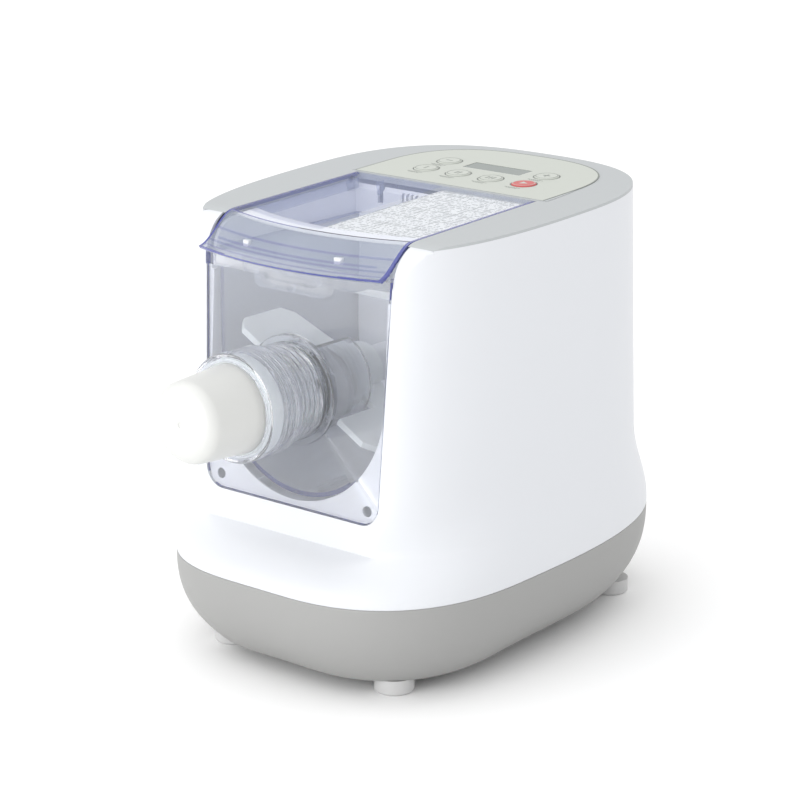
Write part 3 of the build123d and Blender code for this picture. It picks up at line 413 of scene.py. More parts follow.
# rows of the skin: a quarter of a millimetre apart at the seam, one in the flare, six above, and shares up to the cover
SEAM_ROWS, FLARE_ROWS, UPPER_ROWS, COVER_ROWS = 5, 42, 22, 32


def ease(share):
    """Smooth step from 0 to 1."""
    share = min(1.0, max(0.0, share))
    return share * share * (3 - 2 * share)


def front_plane(height):
    """Y of the leaning flat front."""
    return FACET_FOOT + FACET_LEAN * height


def top_plane(along):
    """Height of the sloping top."""
    return TOP + math.tan(TILT) * along


def around(angle, reach, height):
    """Point at a reach from the centre axis, along an angle from the front."""
    return math.sin(angle) * reach, CENTRE - math.cos(angle) * reach, height


def seam_inset(away):
    """How far the skin draws in at a distance above or below the seam."""
    edge = max(0.0, 1.0 - away / SEAM_ROUND)
    return SEAM_DRAW * (1 - math.sqrt(max(0.0, 1 - edge * edge)))


def plan_at(height):
    """Plan between the seam's, the waist's and the top's; its front lies just before the flat front, which cuts it."""
    if height >= WAIST:
        share, first, second = (height - WAIST) / (TOP - WAIST), WAIST_PLAN, TOP_PLAN
    else:
        share, first, second = ease((WAIST - height) / (WAIST - FLARE_LOW)), WAIST_PLAN, SEAM_PLAN
    plan = [one + (two - one) * share for one, two in zip(first, second)]
    skirt = ease((FLARE_HIGH - height) / (FLARE_HIGH - FLARE_LOW))
    own = front_plane(height) - FACET_DEPTH
    plan[1] = own + (SEAM_PLAN[1] - own) * skirt
    return plan


def reach_at(plan, angle):
    """Distance from the centre axis to an outline, along an angle from the front."""
    half, front, rear, widest, flat, front_power, rear_power = plan
    across, along = math.sin(angle), -math.cos(angle)

    def outside(reach):
        x, y = abs(across * reach), CENTRE + along * reach
        if y < widest:
            deep = (widest - y) / (widest - front)
            wide = max(0.0, x - flat) / (half - flat)
            return wide ** front_power + deep ** front_power > 1
        return (x / half) ** rear_power + ((y - widest) / (rear - widest)) ** rear_power > 1

    low, high = 10.0, 260.0     # surely inside and surely outside
    for _ in range(26):
        middle = (low + high) / 2
        low, high = (low, middle) if outside(middle) else (middle, high)
    return low


def nose_centre():
    """Y and height of the axis of the rounded edge between the flat front and the top."""
    height = TOP - NOSE_RADIUS - 2.0     # first guess
    for _ in range(4):
        along = front_plane(height) + NOSE_RADIUS * NOSE_SETBACK
        height = top_plane(along) - NOSE_RADIUS
    return along, height


NOSE = nose_centre()


def facet_line(height, across):
    """Y of the flat front, its crease and its rounded top edge."""
    edge = min(CREASE_ROUND, max(0.0, abs(across) - CREASE_FLAT))
    crease = CREASE + CREASE_ROUND - math.sqrt(CREASE_ROUND ** 2 - edge ** 2)
    if height < crease:
        return front_plane(crease) - (crease - height) / CREASE_SLOPE
    if height > NOSE[1]:
        drop = min(NOSE_RADIUS, height - NOSE[1])
        return max(front_plane(height), NOSE[0] - math.sqrt(NOSE_RADIUS ** 2 - drop ** 2))
    return front_plane(height)


def soft_min(one, two, blend):
    """The smaller of two values, rounded over where they meet."""
    share = max(0.0, min(1.0, 0.5 + 0.5 * (two - one) / blend))
    return two + (one - two) * share - blend * share * (1 - share)


def skin_at(height, angle):
    """Reach of the upper body's surface: its outline, cut off by the flat front."""
    reach = reach_at(plan_at(height), angle)
    if math.cos(angle) > 0.2:     # the flat front is nowhere near the outline beyond that
        across = (CENTRE - front_plane(height)) * math.tan(angle)
        flat = (CENTRE - facet_line(height, across)) / math.cos(angle)
        reach = soft_min(reach, flat, CORNER_BLEND)
    return reach


def skin_angles():
    """Angles round the body, closer together at the edges of the flat front."""
    half = [step * 1.5 for step in range(18)] + [27 + step * 0.5 for step in range(28)]
    half += [41 + step * 2 for step in range(69)]
    return [math.radians(angle) for angle in half + [180] + [360 - angle for angle in reversed(half[1:])]]


def body_rows(angles):
    """Rows of (height, reach) up the body's skin, from the seam to the cover's edge."""
    heights = [SEAM + step * 0.25 for step in range(SEAM_ROWS)] + [FLARE_LOW + step for step in range(FLARE_ROWS)]
    heights += [FLARE_LOW + FLARE_ROWS + step * 6.0 for step in range(UPPER_ROWS)]
    rows = [[(height, skin_at(height, angle) - seam_inset(height - SEAM)) for angle in angles] for height in heights]
    tops = []
    for angle in angles:
        height = TOP - COVER_EDGE
        for _ in range(6):
            height = top_plane(CENTRE - math.cos(angle) * skin_at(height, angle)) - COVER_EDGE
        tops.append(height)
    start = heights[-1]
    for step in range(1, COVER_ROWS + 1):
        row = [start + (top - start) * (step / COVER_ROWS) for top in tops]
        rows.append([(height, skin_at(height, angle)) for angle, height in zip(angles, row)])
    return rows


def bay_outline(inset=0.0, high=330.0):
    """U section of the bay as points (x, z), drawn in by an inset and open above."""
    floor = BAY_FLOOR + inset
    half = BAY_HALF + BAY_SPLAY * (floor - BAY_FLOOR) - inset
    top = BAY_HALF + BAY_SPLAY * (high - BAY_FLOOR) - inset
    radius = BAY_CORNER - inset
    side = [(half - radius + radius * math.sin(angle), floor + radius - radius * math.cos(angle)) for angle in QUARTER]
    side.append((top, high))
    return side + [(-x, z) for x, z in reversed(side)]


def make_shell():
    """White shell as one wall, with the bay and the rear air slots cut out."""
    angles = skin_angles()
    rows = body_rows(angles)
    outer, inner = ([[around(angle, reach - wall, height) for angle, (height, reach) in zip(angles, row)]
                     for row in rows] for wall in (0, SHELL_WALL))
    shell = sweep("shell_skin", outer + inner[::-1], closed=True)
    cuts = [prism("bay_tool", bay_outline(), -260, BAY_REAR, from_front)]
    for step in range(VENT_COUNT):
        slot = slot_outline(VENT_WIDTH, VENT_LENGTH, (step - VENT_COUNT // 2) * VENT_PITCH, VENT_HEIGHT)
        cuts.append(prism(f"vent_{step}", slot, REAR_NEAR, REAR_FAR, from_front))
    boolean(shell, cuts)
    finish_piece(shell, "housing", "white_shell", ("body_shell",), 30, levelled=False)


def make_base():
    """Hollow grey base with air slots, screw wells, foot recesses and the hole of the cord's grommet."""
    angles = skin_angles()
    reaches = [reach_at(plan_at(SEAM), angle) for angle in angles]
    round_top = BASE_LOW + BASE_ROUND
    heights = [SEAM - step * 0.25 for step in range(SEAM_ROWS)] + [SEAM - 2 - step * 2.0 for step in range(25)]
    heights += [round_top - BASE_ROUND * math.sin(math.radians(step * 15)) for step in range(7)]

    def row(height, inset):
        tuck = BASE_TUCK * ((SEAM - height) / (SEAM - BASE_LOW)) ** BASE_POWER + seam_inset(SEAM - height)
        low = max(0.0, round_top - height)
        tuck += BASE_ROUND - math.sqrt(max(0.0, BASE_ROUND ** 2 - low ** 2)) + inset
        return [around(angle, reach - tuck, height) for angle, reach in zip(angles, reaches)]

    outer = [row(height, 0) for height in heights]
    inner = [row(height, BASE_WALL) for height in heights if height >= BASE_LOW + BASE_WALL]
    base = sweep("base_skin", outer[::-1] + inner)
    wells = [prism(f"well_{step}", circle(WELL_RADIUS, *place), BASE_LOW + 1, SEAM - 8, straight_up)
             for step, place in enumerate(SCREW_PLACES)]
    boolean(base, wells, "UNION")
    under = BASE_LOW - BELOW
    cuts = [prism(f"screw_{step}", circle(SCREW_RADIUS, *place), under, BASE_LOW + SCREW_DEPTH, straight_up)
            for step, place in enumerate(SCREW_PLACES)]
    cuts += [prism(f"foot_{step}", circle(FOOT_RADIUS, *place, 64), under, BASE_LOW + FOOT_DEPTH, straight_up)
             for step, place in enumerate(FOOT_PLACES)]
    for step in range(FLOOR_VENT_COUNT):
        slot = slot_outline(FLOOR_VENT_WIDTH, FLOOR_VENT_LENGTH, (step - FLOOR_VENT_COUNT // 2) * FLOOR_VENT_PITCH,
                            FLOOR_VENT_ALONG)
        cuts.append(prism(f"floor_vent_{step}", slot, under, BASE_LOW + 2 * BASE_WALL, straight_up))
    grommet = circle(GROMMET_RADIUS, GROMMET_ACROSS, GROMMET_HEIGHT, 48)
    cuts.append(prism("grommet_hole", grommet, 120, 230, from_front))
    boolean(base, cuts)
    finish_piece(base, "housing", "grey_base", ("base_tray",), 30)


# ---------------------------------------------------------------- front plate, bowl, nut and cap, in millimetres

PLATE_TOP, PLATE_NEAR, PLATE_FAR = 249.4, 0.25, 3.25    # top, and distances behind the front face
PLATE_GAP, PLATE_EDGE, PLATE_RIM = 0.5, 0.5, 2.0
BAND_HEIGHT, BAND_RISE, BAND_FAR, BAND_EDGE = 10.0, 1.6, 1.5, 0.4
TAB_WIDTH, TAB_DROP, TAB_DEPTH, TAB_CORNER, TAB_EDGE = 56.0, 16.0, 6.0, 5.0, 0.8
TAB_SLOT, TAB_SLOT_DROP, TAB_SLOT_FAR = (40, 5, 2.4), 8, -0.6
TAB_HOLE, TAB_HOLE_DROP, TAB_HOLE_FAR = 2.6, 13.2, PLATE_NEAR - 3
BARREL, BARREL_ROOT, BARREL_CHAMFER, BORE = 29.2, 27.9, 0.4, 25.2
BARREL_FRONT, CHAMBER_REAR, CHAMBER = -136.0, -56.0, 28.0
CHAMBER_OPENING = ((-40, -86.6, 183.4), (10, -52, 213.4))     # the tube is open to the bowl at its upper left
COLLAR, COLLAR_EDGE, COLLAR_RISE, COLLAR_SHOULDER = 33.2, 32.6, 3, 2.4
THREAD_PITCH, THREAD_START, THREAD_COUNT, THREAD_CREST = 4.0, -99.0, 9, 0.15
NUT, NUT_FRONT, NUT_REAR, NUT_MOUTH, NUT_THREAD, NUT_CREST = 32.1, -148.9, -121.9, 27.4, 29.5, 0.7
PEG, PEG_ACROSS, PEG_HEIGHT, PEG_REACH = 3.0, 57.0, 113.0, 11.0
FRONT_CLEAR = 20     # cutting tools reach this far before and behind the front face

# limits of a face normal's part along an axis
SIDEWAYS, FRONTWARDS, UPWARDS, SQUARE_ON = 0.75, -0.5, 0.3, 0.8
HAIR = 0.02     # keeps two surfaces out of one plane

BOWL, BOWL_WALL, BOWL_RIM, BOWL_REAR = 66.2, 2.8, 249.0, 42.95
BOWL_NEAR, BOWL_NOSE = 3.5, 17.0     # distance behind the front face, and the radius of the mouth's upper corner
BOWL_HEIGHTS = (BOWL_RIM, 247, 245, 243, 236, 220, 200)     # of the straight side's rows
BOWL_EDGE_TOP = AXIS + 4     # the mouth's edge is painted dark up to here, as painted shade
BUSH_HOLE = 12.0
FLANGE, FLANGE_THICK, FLANGE_EDGE, FLANGE_HOLE, FLANGE_HOLES = 2, 2.5, 0.25, 0.9, (-24, 2)

CAP_BASE, CAP_NOSE, CAP_SEAT = -145.9, -189.5, -154.9
CAP_BORE, CAP_BASE_RADIUS, CAP_NOSE_RADIUS, CAP_ROUND, CAP_LENGTH = 22.1, 26.4, 23.6, 8.0, 43.6


def on_front(a, b, depth):
    """Point of a front view (x, z) at a depth behind the leaning face."""
    return a, front_plane(b) + depth, b


def thread(crest, root, start, count, soft=THREAD_CREST, pitch=THREAD_PITCH):
    """Rounded ribs as points (radius, y) from start towards the front."""
    points = []
    for turn in range(count):
        y = start - turn * pitch
        points += [(root, y), (crest - soft, y - pitch * 0.3), (crest, y - pitch * 0.4), (crest, y - pitch * 0.6),
                   (crest - soft, y - pitch * 0.7), (root, y - pitch)]
    return points


def plate_half(height):
    """Half width of the front plate at a height."""
    return BAY_HALF + BAY_SPLAY * (height - BAY_FLOOR)


def make_front_plate():
    """Clear front plate with its stiffening band, thumb tab, threaded barrel, chamber tube and pegs."""
    plate = prism("front_plate_clear", bay_outline(PLATE_GAP, PLATE_TOP), PLATE_NEAR, PLATE_FAR, on_front)
    softened(plate, PLATE_EDGE)
    low, high = PLATE_TOP - BAND_HEIGHT, PLATE_TOP
    half_low, half_high = plate_half(low) - PLATE_GAP, plate_half(high) - PLATE_GAP
    band = prism("band", [(-half_low, low), (half_low, low), (half_high, high), (-half_high, high)],
                 PLATE_NEAR - BAND_RISE, BAND_FAR, on_front)
    softened(band, BAND_EDGE)
    tab = prism("tab", rounded_rect(TAB_WIDTH, TAB_DROP, TAB_CORNER, 0, PLATE_TOP - TAB_DROP / 2),
                PLATE_NEAR - TAB_DEPTH, PLATE_NEAR + 1, on_front)
    softened(tab, TAB_EDGE)
    face = front_plane(AXIS)
    barrel_rear = face + PLATE_FAR - 0.5
    section = [(BORE, BARREL_FRONT), (BORE, barrel_rear), (BARREL, barrel_rear), (BARREL, THREAD_START + 0.6)]
    section += thread(BARREL, BARREL_ROOT, THREAD_START, THREAD_COUNT)
    section += [(BARREL_ROOT, BARREL_FRONT + BARREL_CHAMFER), (BARREL_ROOT - BARREL_CHAMFER, BARREL_FRONT)]
    barrel = lathe("barrel", section)
    collar = lathe("collar", [(BORE + 1, face - COLLAR_RISE), (BORE + 1, face + 1), (COLLAR, face + 1),
                              (COLLAR, face - COLLAR_SHOULDER), (COLLAR_EDGE, face - COLLAR_RISE)])
    chamber = lathe("chamber", [(BORE, barrel_rear - 1), (BORE, CHAMBER_REAR), (CHAMBER, CHAMBER_REAR),
                                (CHAMBER, barrel_rear - 1)])
    boolean(chamber, [box("chamber_opening", *CHAMBER_OPENING)])
    pegs = [prism(f"peg_{side}", circle(PEG, side * PEG_ACROSS, PEG_HEIGHT), PLATE_FAR - 1, PEG_REACH, on_front)
            for side in (-1, 1)]
    boolean(plate, [prism("barrel_hole", circle(BORE + 0.4, 0, AXIS, 112), -FRONT_CLEAR, FRONT_CLEAR, on_front)])
    boolean(plate, [band, tab, collar, barrel, chamber] + pegs, "UNION")
    slot = rounded_rect(*TAB_SLOT, 0, PLATE_TOP - TAB_SLOT_DROP)
    hole = circle(TAB_HOLE, 0, PLATE_TOP - TAB_HOLE_DROP, 24)
    boolean(plate, [prism("tab_slot", slot, -FRONT_CLEAR, TAB_SLOT_FAR, on_front),
                    prism("tab_hole", hole, -FRONT_CLEAR, TAB_HOLE_FAR, on_front)])
    finish_piece(plate, "front", "clear_plastic", ("front_plate",), 30)

    def rim(centre, normal):
        beyond = abs(centre.x) > plate_half(centre.z) - PLATE_RIM or centre.z < BAY_FLOOR + PLATE_RIM
        return abs(normal.y) < SIDEWAYS and beyond

    def round_part(centre, normal):
        radius = math.hypot(centre.x, centre.z - AXIS)
        return radius < COLLAR + 0.8 and (centre.y < front_plane(centre.z) - 0.2 or radius < CHAMBER + 0.4)

    paint(plate, "clear_solid", round_part)
    # painted shade: the border faces that rim picks get the dark clear tint
    paint(plate, "clear_deep_shade", rim)


def make_bowl():
    """U-shaped clear bowl with its milky rear wall and small holed flanges along its rim, with painted shade on its
    edges.
    """

    def mouth(height):
        rise = max(0.0, height - NOSE[1])
        return max(front_plane(height) + BOWL_NEAR, NOSE[0] - math.sqrt(BOWL_NOSE ** 2 - rise ** 2))

    def wall(outer_x, outer_z, inner_x, inner_z):
        return [(outer_x, mouth(outer_z), outer_z), (outer_x, BOWL_REAR, outer_z),
                (inner_x, BOWL_REAR, inner_z), (inner_x, mouth(inner_z), inner_z)]

    inner = BOWL - BOWL_WALL
    sections = [wall(-BOWL, height, -inner, height) for height in BOWL_HEIGHTS]
    for step in range(-36, 37):
        across, down = math.sin(math.radians(step * 2.5)), math.cos(math.radians(step * 2.5))
        sections.append(wall(BOWL * across, AXIS - BOWL * down, inner * across, AXIS - inner * down))
    sections += [wall(BOWL, height, inner, height) for height in reversed(BOWL_HEIGHTS)]
    bowl = sweep("bowl_clear", sections)

    snug = inner + 0.1     # the rear wall reaches into the sides
    turns = [math.radians(step * 5) for step in range(-18, 19)]
    outline = [(snug * math.sin(turn), AXIS - snug * math.cos(turn)) for turn in turns]
    outline = [(-snug, BOWL_RIM)] + outline + [(snug, BOWL_RIM)]
    rear = prism("bowl_rear", outline, BOWL_REAR - BOWL_WALL, BOWL_REAR - HAIR, from_front)
    boolean(rear, [prism("shaft_hole", circle(BUSH_HOLE, 0, AXIS, 64), BOWL_REAR - 8, BOWL_REAR + 4, from_front)])
    finish_piece(rear, "bowl", "clear_plastic", material="milky")

    for name, side in (("bowl_rim_left", -1), ("bowl_rim_right", 1)):
        inside, outside = sorted((side * (BOWL - HAIR), side * (BOWL + FLANGE)))
        rim = box(name, (inside, mouth(BOWL_RIM), BOWL_RIM - FLANGE_THICK), (outside, BOWL_REAR, BOWL_RIM))
        boolean(rim, [prism(f"rim_hole_{along}", circle(FLANGE_HOLE, side * (BOWL + FLANGE / 2), along, 16),
                            BOWL_RIM - 5, BOWL_RIM + 5, straight_up) for along in FLANGE_HOLES])
        finish_piece(softened(rim, FLANGE_EDGE), "bowl", "clear_plastic")
        # painted shade on the side faces of the flanges
        paint(rim, "clear_soft_shade", lambda centre, normal: abs(normal.z) < 0.5)

    def shaded_mouth(centre, normal):
        return normal.y < FRONTWARDS and centre.z < BOWL_EDGE_TOP

    def shaded_straight_edges(centre, normal):
        return normal.y < FRONTWARDS and centre.z >= BOWL_EDGE_TOP or centre.z > BOWL_RIM - 0.1

    finish_piece(bowl, "bowl", "clear_plastic", ("mixing_bowl",), 30, "clear_bowl")
    # painted shade: dark tints on the mouth's edges and the top of the rim
    paint(bowl, "clear_deep_shade", shaded_mouth)
    paint(bowl, "clear_soft_shade", shaded_straight_edges)


def make_nut():
    """Clear nut with three turns of thread behind its narrower mouth."""
    section = [(NUT, NUT_REAR - 1.0), (NUT - 0.3, NUT_REAR - 0.3), (NUT - 1.0, NUT_REAR),
               (NUT_THREAD + NUT_CREST, NUT_REAR)]
    section += thread(NUT_THREAD, NUT_THREAD + NUT_CREST, NUT_REAR - 1.0, 3)
    section += [(NUT_THREAD + 0.4, NUT_FRONT + 3.0), (NUT_MOUTH, NUT_FRONT + 3.0), (NUT_MOUTH, NUT_FRONT + 0.5),
                (NUT_MOUTH + 0.5, NUT_FRONT), (NUT - 1.8, NUT_FRONT), (NUT - 0.7, NUT_FRONT + 0.5),
                (NUT - 0.1, NUT_FRONT + 1.7), (NUT, NUT_FRONT + 2.4)]
    finish_piece(lathe("nut_clear", section), "nut", "clear_plastic", ("locking_nut",), 30, "clear_solid")


def make_cap():
    """Warm white cap with a rounded nose and the small mark of its moulding point."""
    length, taper = CAP_LENGTH - CAP_ROUND, (CAP_BASE_RADIUS - CAP_NOSE_RADIUS) * 0.8
    section = [(CAP_BORE, CAP_BASE)]
    section += [(CAP_BASE_RADIUS - taper * step / 4, CAP_BASE - length * step / 4) for step in range(5)]
    edge = section[-1][0]
    section += [(edge - CAP_ROUND + CAP_ROUND * math.cos(angle),
                 CAP_NOSE + CAP_ROUND - CAP_ROUND * math.sin(angle) + 0.5) for angle in QUARTER[1:]]
    section += [(12.0, CAP_NOSE + 0.18), (6.0, CAP_NOSE + 0.05), (1.6, CAP_NOSE), (1.4, CAP_NOSE + 0.35),
                (0.8, CAP_NOSE + 0.35), (0.01, CAP_NOSE + 0.3), (0.01, CAP_NOSE + 3.2), (17.0, CAP_NOSE + 5.2),
                (18.5, CAP_NOSE + 7.0), (CAP_BORE, CAP_SEAT)]
    finish_piece(lathe("cap_shell", section, 128), "cap", "white_cap", ("outlet_cap",), 50)


# ---------------------------------------------------------------- lid, in millimetres of the tilted top

LID_HALF, LID_THICK, LID_SKIRT = 69.3, 2.6, 9.0
LID_SHADE_STRIP, LID_SIDE = 67.5, 68.8     # strips of painted shade run outside the first, and side faces painted as shade outside the second
LID_ROWS = (30, 12, 4)     # distances behind the bowed edge
LID_TAIL = ((45.6, -2.6), (45.35, -1.6), (44.9, -0.7), (44.33, 0.0))     # rounded rear edge as points (y, z)
BOW_CENTRE, BOW_RADIUS = 122.0, 204.0     # the lid's front edge in plan
VISOR_REACH, VISOR_DROP, VISOR_WALL, VISOR_STEPS, VISOR_EDGE = 28.5, 16.3, 2.1, 24, 27.2
RIB_START, RIB_END, RIB_PITCH, RIB_DEPTH, RIB_STEP = 13, 26, 2.6, 0.5, 0.65
# bands of painted shade over the visor's ribs, standing in for the light the ribs bend
RIB_SHADE_BANDS = ((12.2, 14.0), (17.0, 17.9), (20.0, 20.9), (23.0, 23.9))
BEND_SHADE_BAND, BEND_SHADE_LINE, BEND_SHADE_LEFT = (-0.3, 0.9), (0.1, 0.9), -6     # painted shade bands where the visor bends off the lid
PIVOT_Y, PIVOT_DEPTH, PIVOT_RADIUS, PIN_INNER, PIN_OUTER = 39.7, 3.9, 2.4, 66.0, 73.3
SKIRT_INNER, SKIRT_OUTER = 65.5, 68.3
SKIRT_SIDE = ((-62, -1), (42.1, -1), (42.1, -LID_SKIRT), (-58, -LID_SKIRT), (-62, -5))
TONGUE_ACROSS, TONGUE_HALF = -49.0, 1.25
TONGUE_SIDE = ((40.1, -2.0), (45.3, -2.0), (45.3, -11.5), (41.4, -11.5))
FROST_HALF, FROST_REAR, FROST_FRONT = 65.2, -17.5, -1.0
CARD = (66.2, 106.8, 2.0, 32.1, -10.1)     # width, length, corner, centre across and along
CLIP, CLIP_ACROSS, CLIP_REACH, CLIP_LOW, CLIP_HIGH = (5.0, 3.6, 1.0), 35.0, 15.5, -1.6, 2.2


def on_top(x, y, z):
    """Point of the tilted top's own frame."""
    return x, y * math.cos(TILT) - z * math.sin(TILT), TOP + y * math.sin(TILT) + z * math.cos(TILT)


def across_top(a, b, depth):
    """Point of a side view (y, z) of the tilted top, at a place across it."""
    return on_top(depth, a, b)


def bowed(x, distance, z):
    """Point at a distance before the lid's bowed front edge."""
    return on_top(x, BOW_CENTRE - math.sqrt((BOW_RADIUS + distance) ** 2 - x * x), z)


def visor_drop(distance):
    """Height of the visor's upper side at a distance before the lid's front edge."""
    return -VISOR_DROP * ease(distance / VISOR_REACH)


def visor_under(distance):
    """Underside of the visor, with the shallow ribs of its lower half."""
    rib = 0.0
    if RIB_START < distance < RIB_END:
        rib = RIB_DEPTH * (1 - math.cos(2 * math.pi * (distance - RIB_START) / RIB_PITCH)) / 2
    return visor_drop(distance) - VISOR_WALL + rib


def lid_steps(half, count):
    """Evenly spaced places across the lid."""
    return [-half + 2 * half * step / count for step in range(count + 1)]


def make_lid():
    """Clear lid with its curved visor, side skirts, hinge pins and the tongue of the safety switch."""
    sections = []
    for x in sorted(lid_steps(LID_HALF, 48) + [-LID_SHADE_STRIP, LID_SHADE_STRIP]):
        loop = [bowed(x, -behind, 0) for behind in LID_ROWS]
        reaches = [step * VISOR_REACH / VISOR_STEPS for step in range(VISOR_STEPS + 1)]
        loop += [bowed(x, reach, visor_drop(reach)) for reach in reaches]
        loop.append(bowed(x, VISOR_REACH - 0.6, -VISOR_DROP - 1.2))
        loop += [bowed(x, step * RIB_STEP, visor_under(step * RIB_STEP)) for step in range(42, 1, -1)]
        loop += [bowed(x, -behind, -LID_THICK) for behind in (1, LID_ROWS[1], LID_ROWS[0])]
        loop += [on_top(x, y, z) for y, z in LID_TAIL]
        sections.append(loop)
    lid = sweep("lid_clear", sections)
    extra = []
    for side in (-1, 1):
        pin = circle(PIVOT_RADIUS, PIVOT_Y, -PIVOT_DEPTH, 24)
        extra.append(prism(f"skirt_{side}", SKIRT_SIDE, side * SKIRT_INNER, side * SKIRT_OUTER, across_top))
        extra.append(prism(f"pin_{side}", pin, side * PIN_INNER, side * PIN_OUTER, across_top))
    extra.append(prism("tongue", TONGUE_SIDE, TONGUE_ACROSS - TONGUE_HALF, TONGUE_ACROSS + TONGUE_HALF, across_top))
    boolean(lid, extra, "UNION")
    finish_piece(lid, "lid", "clear_plastic", ("lid_cover",), 32, "clear_lid")

    def distance(centre):
        return math.hypot(centre.x, BOW_CENTRE - centre.y) - BOW_RADIUS

    def in_shade_bands(centre, normal, *streaks):
        return normal.z > UPWARDS and any(low < distance(centre) < high for low, high in streaks)

    def over_trim(centre, normal):
        return abs(normal.z) > SQUARE_ON and (centre.x > -1 or distance(centre) > -14)

    def shaded_outer_edge(centre, normal):
        side = abs(centre.x) > LID_SIDE and abs(normal.x) > SQUARE_ON
        return side or abs(centre.x) > LID_SHADE_STRIP and normal.z > UPWARDS or distance(centre) > VISOR_EDGE

    def shaded_bend_line(centre, normal):
        return in_shade_bands(centre, normal, BEND_SHADE_LINE) and BEND_SHADE_LEFT < centre.x < LID_SHADE_STRIP

    paint(lid, "clear_plastic", over_trim)
    paint(lid, "clear_visor", lambda centre, normal: distance(centre) > 0.5)
    # painted shade: darker tints over the ribs, at the bend and along the outer edges, and a dark line at the bend
    paint(lid, "clear_soft_shade", lambda centre, normal: in_shade_bands(centre, normal, *RIB_SHADE_BANDS))
    paint(lid, "clear_deep_shade", lambda centre, normal: in_shade_bands(centre, normal, BEND_SHADE_BAND))
    paint(lid, "clear_deep_shade", shaded_outer_edge)
    paint(lid, "painted_bend_shade", shaded_bend_line)


def make_lid_trim():
    """Frosted strip under the lid's front edge, the printed card under its right half and two clips on the visor, whose
    white is a painted highlight.
    """
    high, low = -LID_THICK - 0.05, -LID_THICK - 0.45
    sections = [[bowed(x, FROST_REAR, high), bowed(x, FROST_FRONT, high), bowed(x, FROST_FRONT, low),
                 bowed(x, FROST_REAR, low)] for x in lid_steps(FROST_HALF, 40)]
    finish_piece(sweep("lid_frost", sections), "lid", "label", material="frost")
    card = prism("lid_card", rounded_rect(*CARD), -LID_THICK - 0.5, -LID_THICK - 0.1, on_top)
    finish_piece(card, "lid", "label", ("lid_label",))
    under = visor_drop(CLIP_REACH) - VISOR_WALL
    # the clips are clear; their frost white is a painted highlight
    for side, across in (("left", -CLIP_ACROSS), ("right", CLIP_ACROSS)):
        clip = prism(f"visor_clip_{side}", rounded_rect(*CLIP), CLIP_LOW, CLIP_HIGH,
                     lambda a, b, depth: bowed(across + a, CLIP_REACH + b, under + depth))
        finish_piece(clip, "lid", "label", material="frost")


# ---------------------------------------------------------------- keys and panel, in millimetres of the tilted top

KEYS = {"button_1": (-38.1, 75.5), "button_2": (-12.7, 75.5), "button_3": (12.7, 75.5), "button_start": (38.1, 75.5),
        "button_left": (-38.1, 99.0), "button_right": (38.1, 99.0)}
KEY_TOP, KEY_HOLE, INK = 1.0, 7.8, 0.05
RING_OUTER, RING_INNER = 7.05, 6.65
MARK_LENGTH, MARK_WIDTH, MARK_PITCH = 5.0, 1.0, 2.4
TRIANGLE = ((-2.0, -2.6), (2.8, 0.0), (-2.0, 2.6))
DASH_ROWS = ((12.5, 10.9, 0.9), (8.5, 12.5, 0.7))     # length, distance before the key, and height
DASH_WIDTHS, DASH_GAP = (1.7, 0.9, 2.3, 1.2), 0.5
FILM_HALF, FILM_FRONT, FILM_WIDEST, FILM_REAR, FILM_POWER, FILM_TOP = 72.6, 48.3, 75.0, 141.4, 2.7, 0.32
DISPLAY = (44.0, 14.4, 0, 99)     # width, length, centre across and along


def make_key_mark(name, outlines, material):
    """Thin generic symbol and ring printed on a key."""
    slot = "display" if material == "print" else "panel"
    across, along = KEYS[name]
    marks = [prism(f"{name}_mark_{step}", [(across + a, along + b) for a, b in outline], KEY_TOP, KEY_TOP + INK, on_top)
             for step, outline in enumerate(outlines)]
    mark = marks[0]
    if marks[1:]:
        boolean(mark, marks[1:], "UNION")
    mark.name = f"{name}_mark"
    ring = prism(f"{name}_ring", circle(RING_OUTER, across, along, 48), KEY_TOP, KEY_TOP + INK, on_top)
    boolean(ring, [prism("inside", circle(RING_INNER, across, along, 48), -1, 3, on_top)])
    finish_piece(ring, name, slot, material=material)
    finish_piece(mark, name, slot, material=material)


def make_keys():
    """Plain marks on the six keys: one, two and three bars, a triangle, a minus and a plus."""
    for step, name in enumerate(("button_1", "button_2", "button_3")):
        bars = [bar(MARK_WIDTH, MARK_LENGTH, (place - step / 2) * MARK_PITCH) for place in range(step + 1)]
        make_key_mark(name, bars, "print")
    make_key_mark("button_start", [TRIANGLE], "panel")
    make_key_mark("button_left", [bar(MARK_LENGTH, MARK_WIDTH)], "print")
    make_key_mark("button_right", [bar(MARK_LENGTH, MARK_WIDTH), bar(MARK_WIDTH, MARK_LENGTH)], "print")


def make_dashes():
    """Two rows of dashes before each key, where a machine has its captions."""
    for name, (across, along) in KEYS.items():
        for step, (length, drop, height) in enumerate(DASH_ROWS):
            points, faces = [], []
            place, turn = across - length / 2, step + len(name)
            while place + DASH_WIDTHS[turn % 4] <= across + length / 2:
                width = DASH_WIDTHS[turn % 4]
                corners = bar(width, height, place + width / 2, along - drop)
                faces += prism_faces(4, len(points))
                points += [on_top(a, b, z) for z in (FILM_TOP - HAIR, FILM_TOP + 2 * HAIR) for a, b in corners]
                place += width + DASH_GAP
                turn += 1
            finish_piece(raw(f"{name}_line_{step}", points, faces), "housing", "display", material="print")


def film_outline(grow, front=FILM_FRONT):
    """Panel film in plan: straight sides and a rounded arch behind."""
    half, depth = FILM_HALF + grow, FILM_REAR + grow - FILM_WIDEST
    arch = []
    for step in range(65):
        angle = math.pi * step / 64
        arch.append((math.copysign(half * abs(math.cos(angle)) ** (2 / FILM_POWER), math.cos(angle)),
                     FILM_WIDEST + depth * math.sin(angle) ** (2 / FILM_POWER)))
    return arch + [(-half, front), (half, front)]


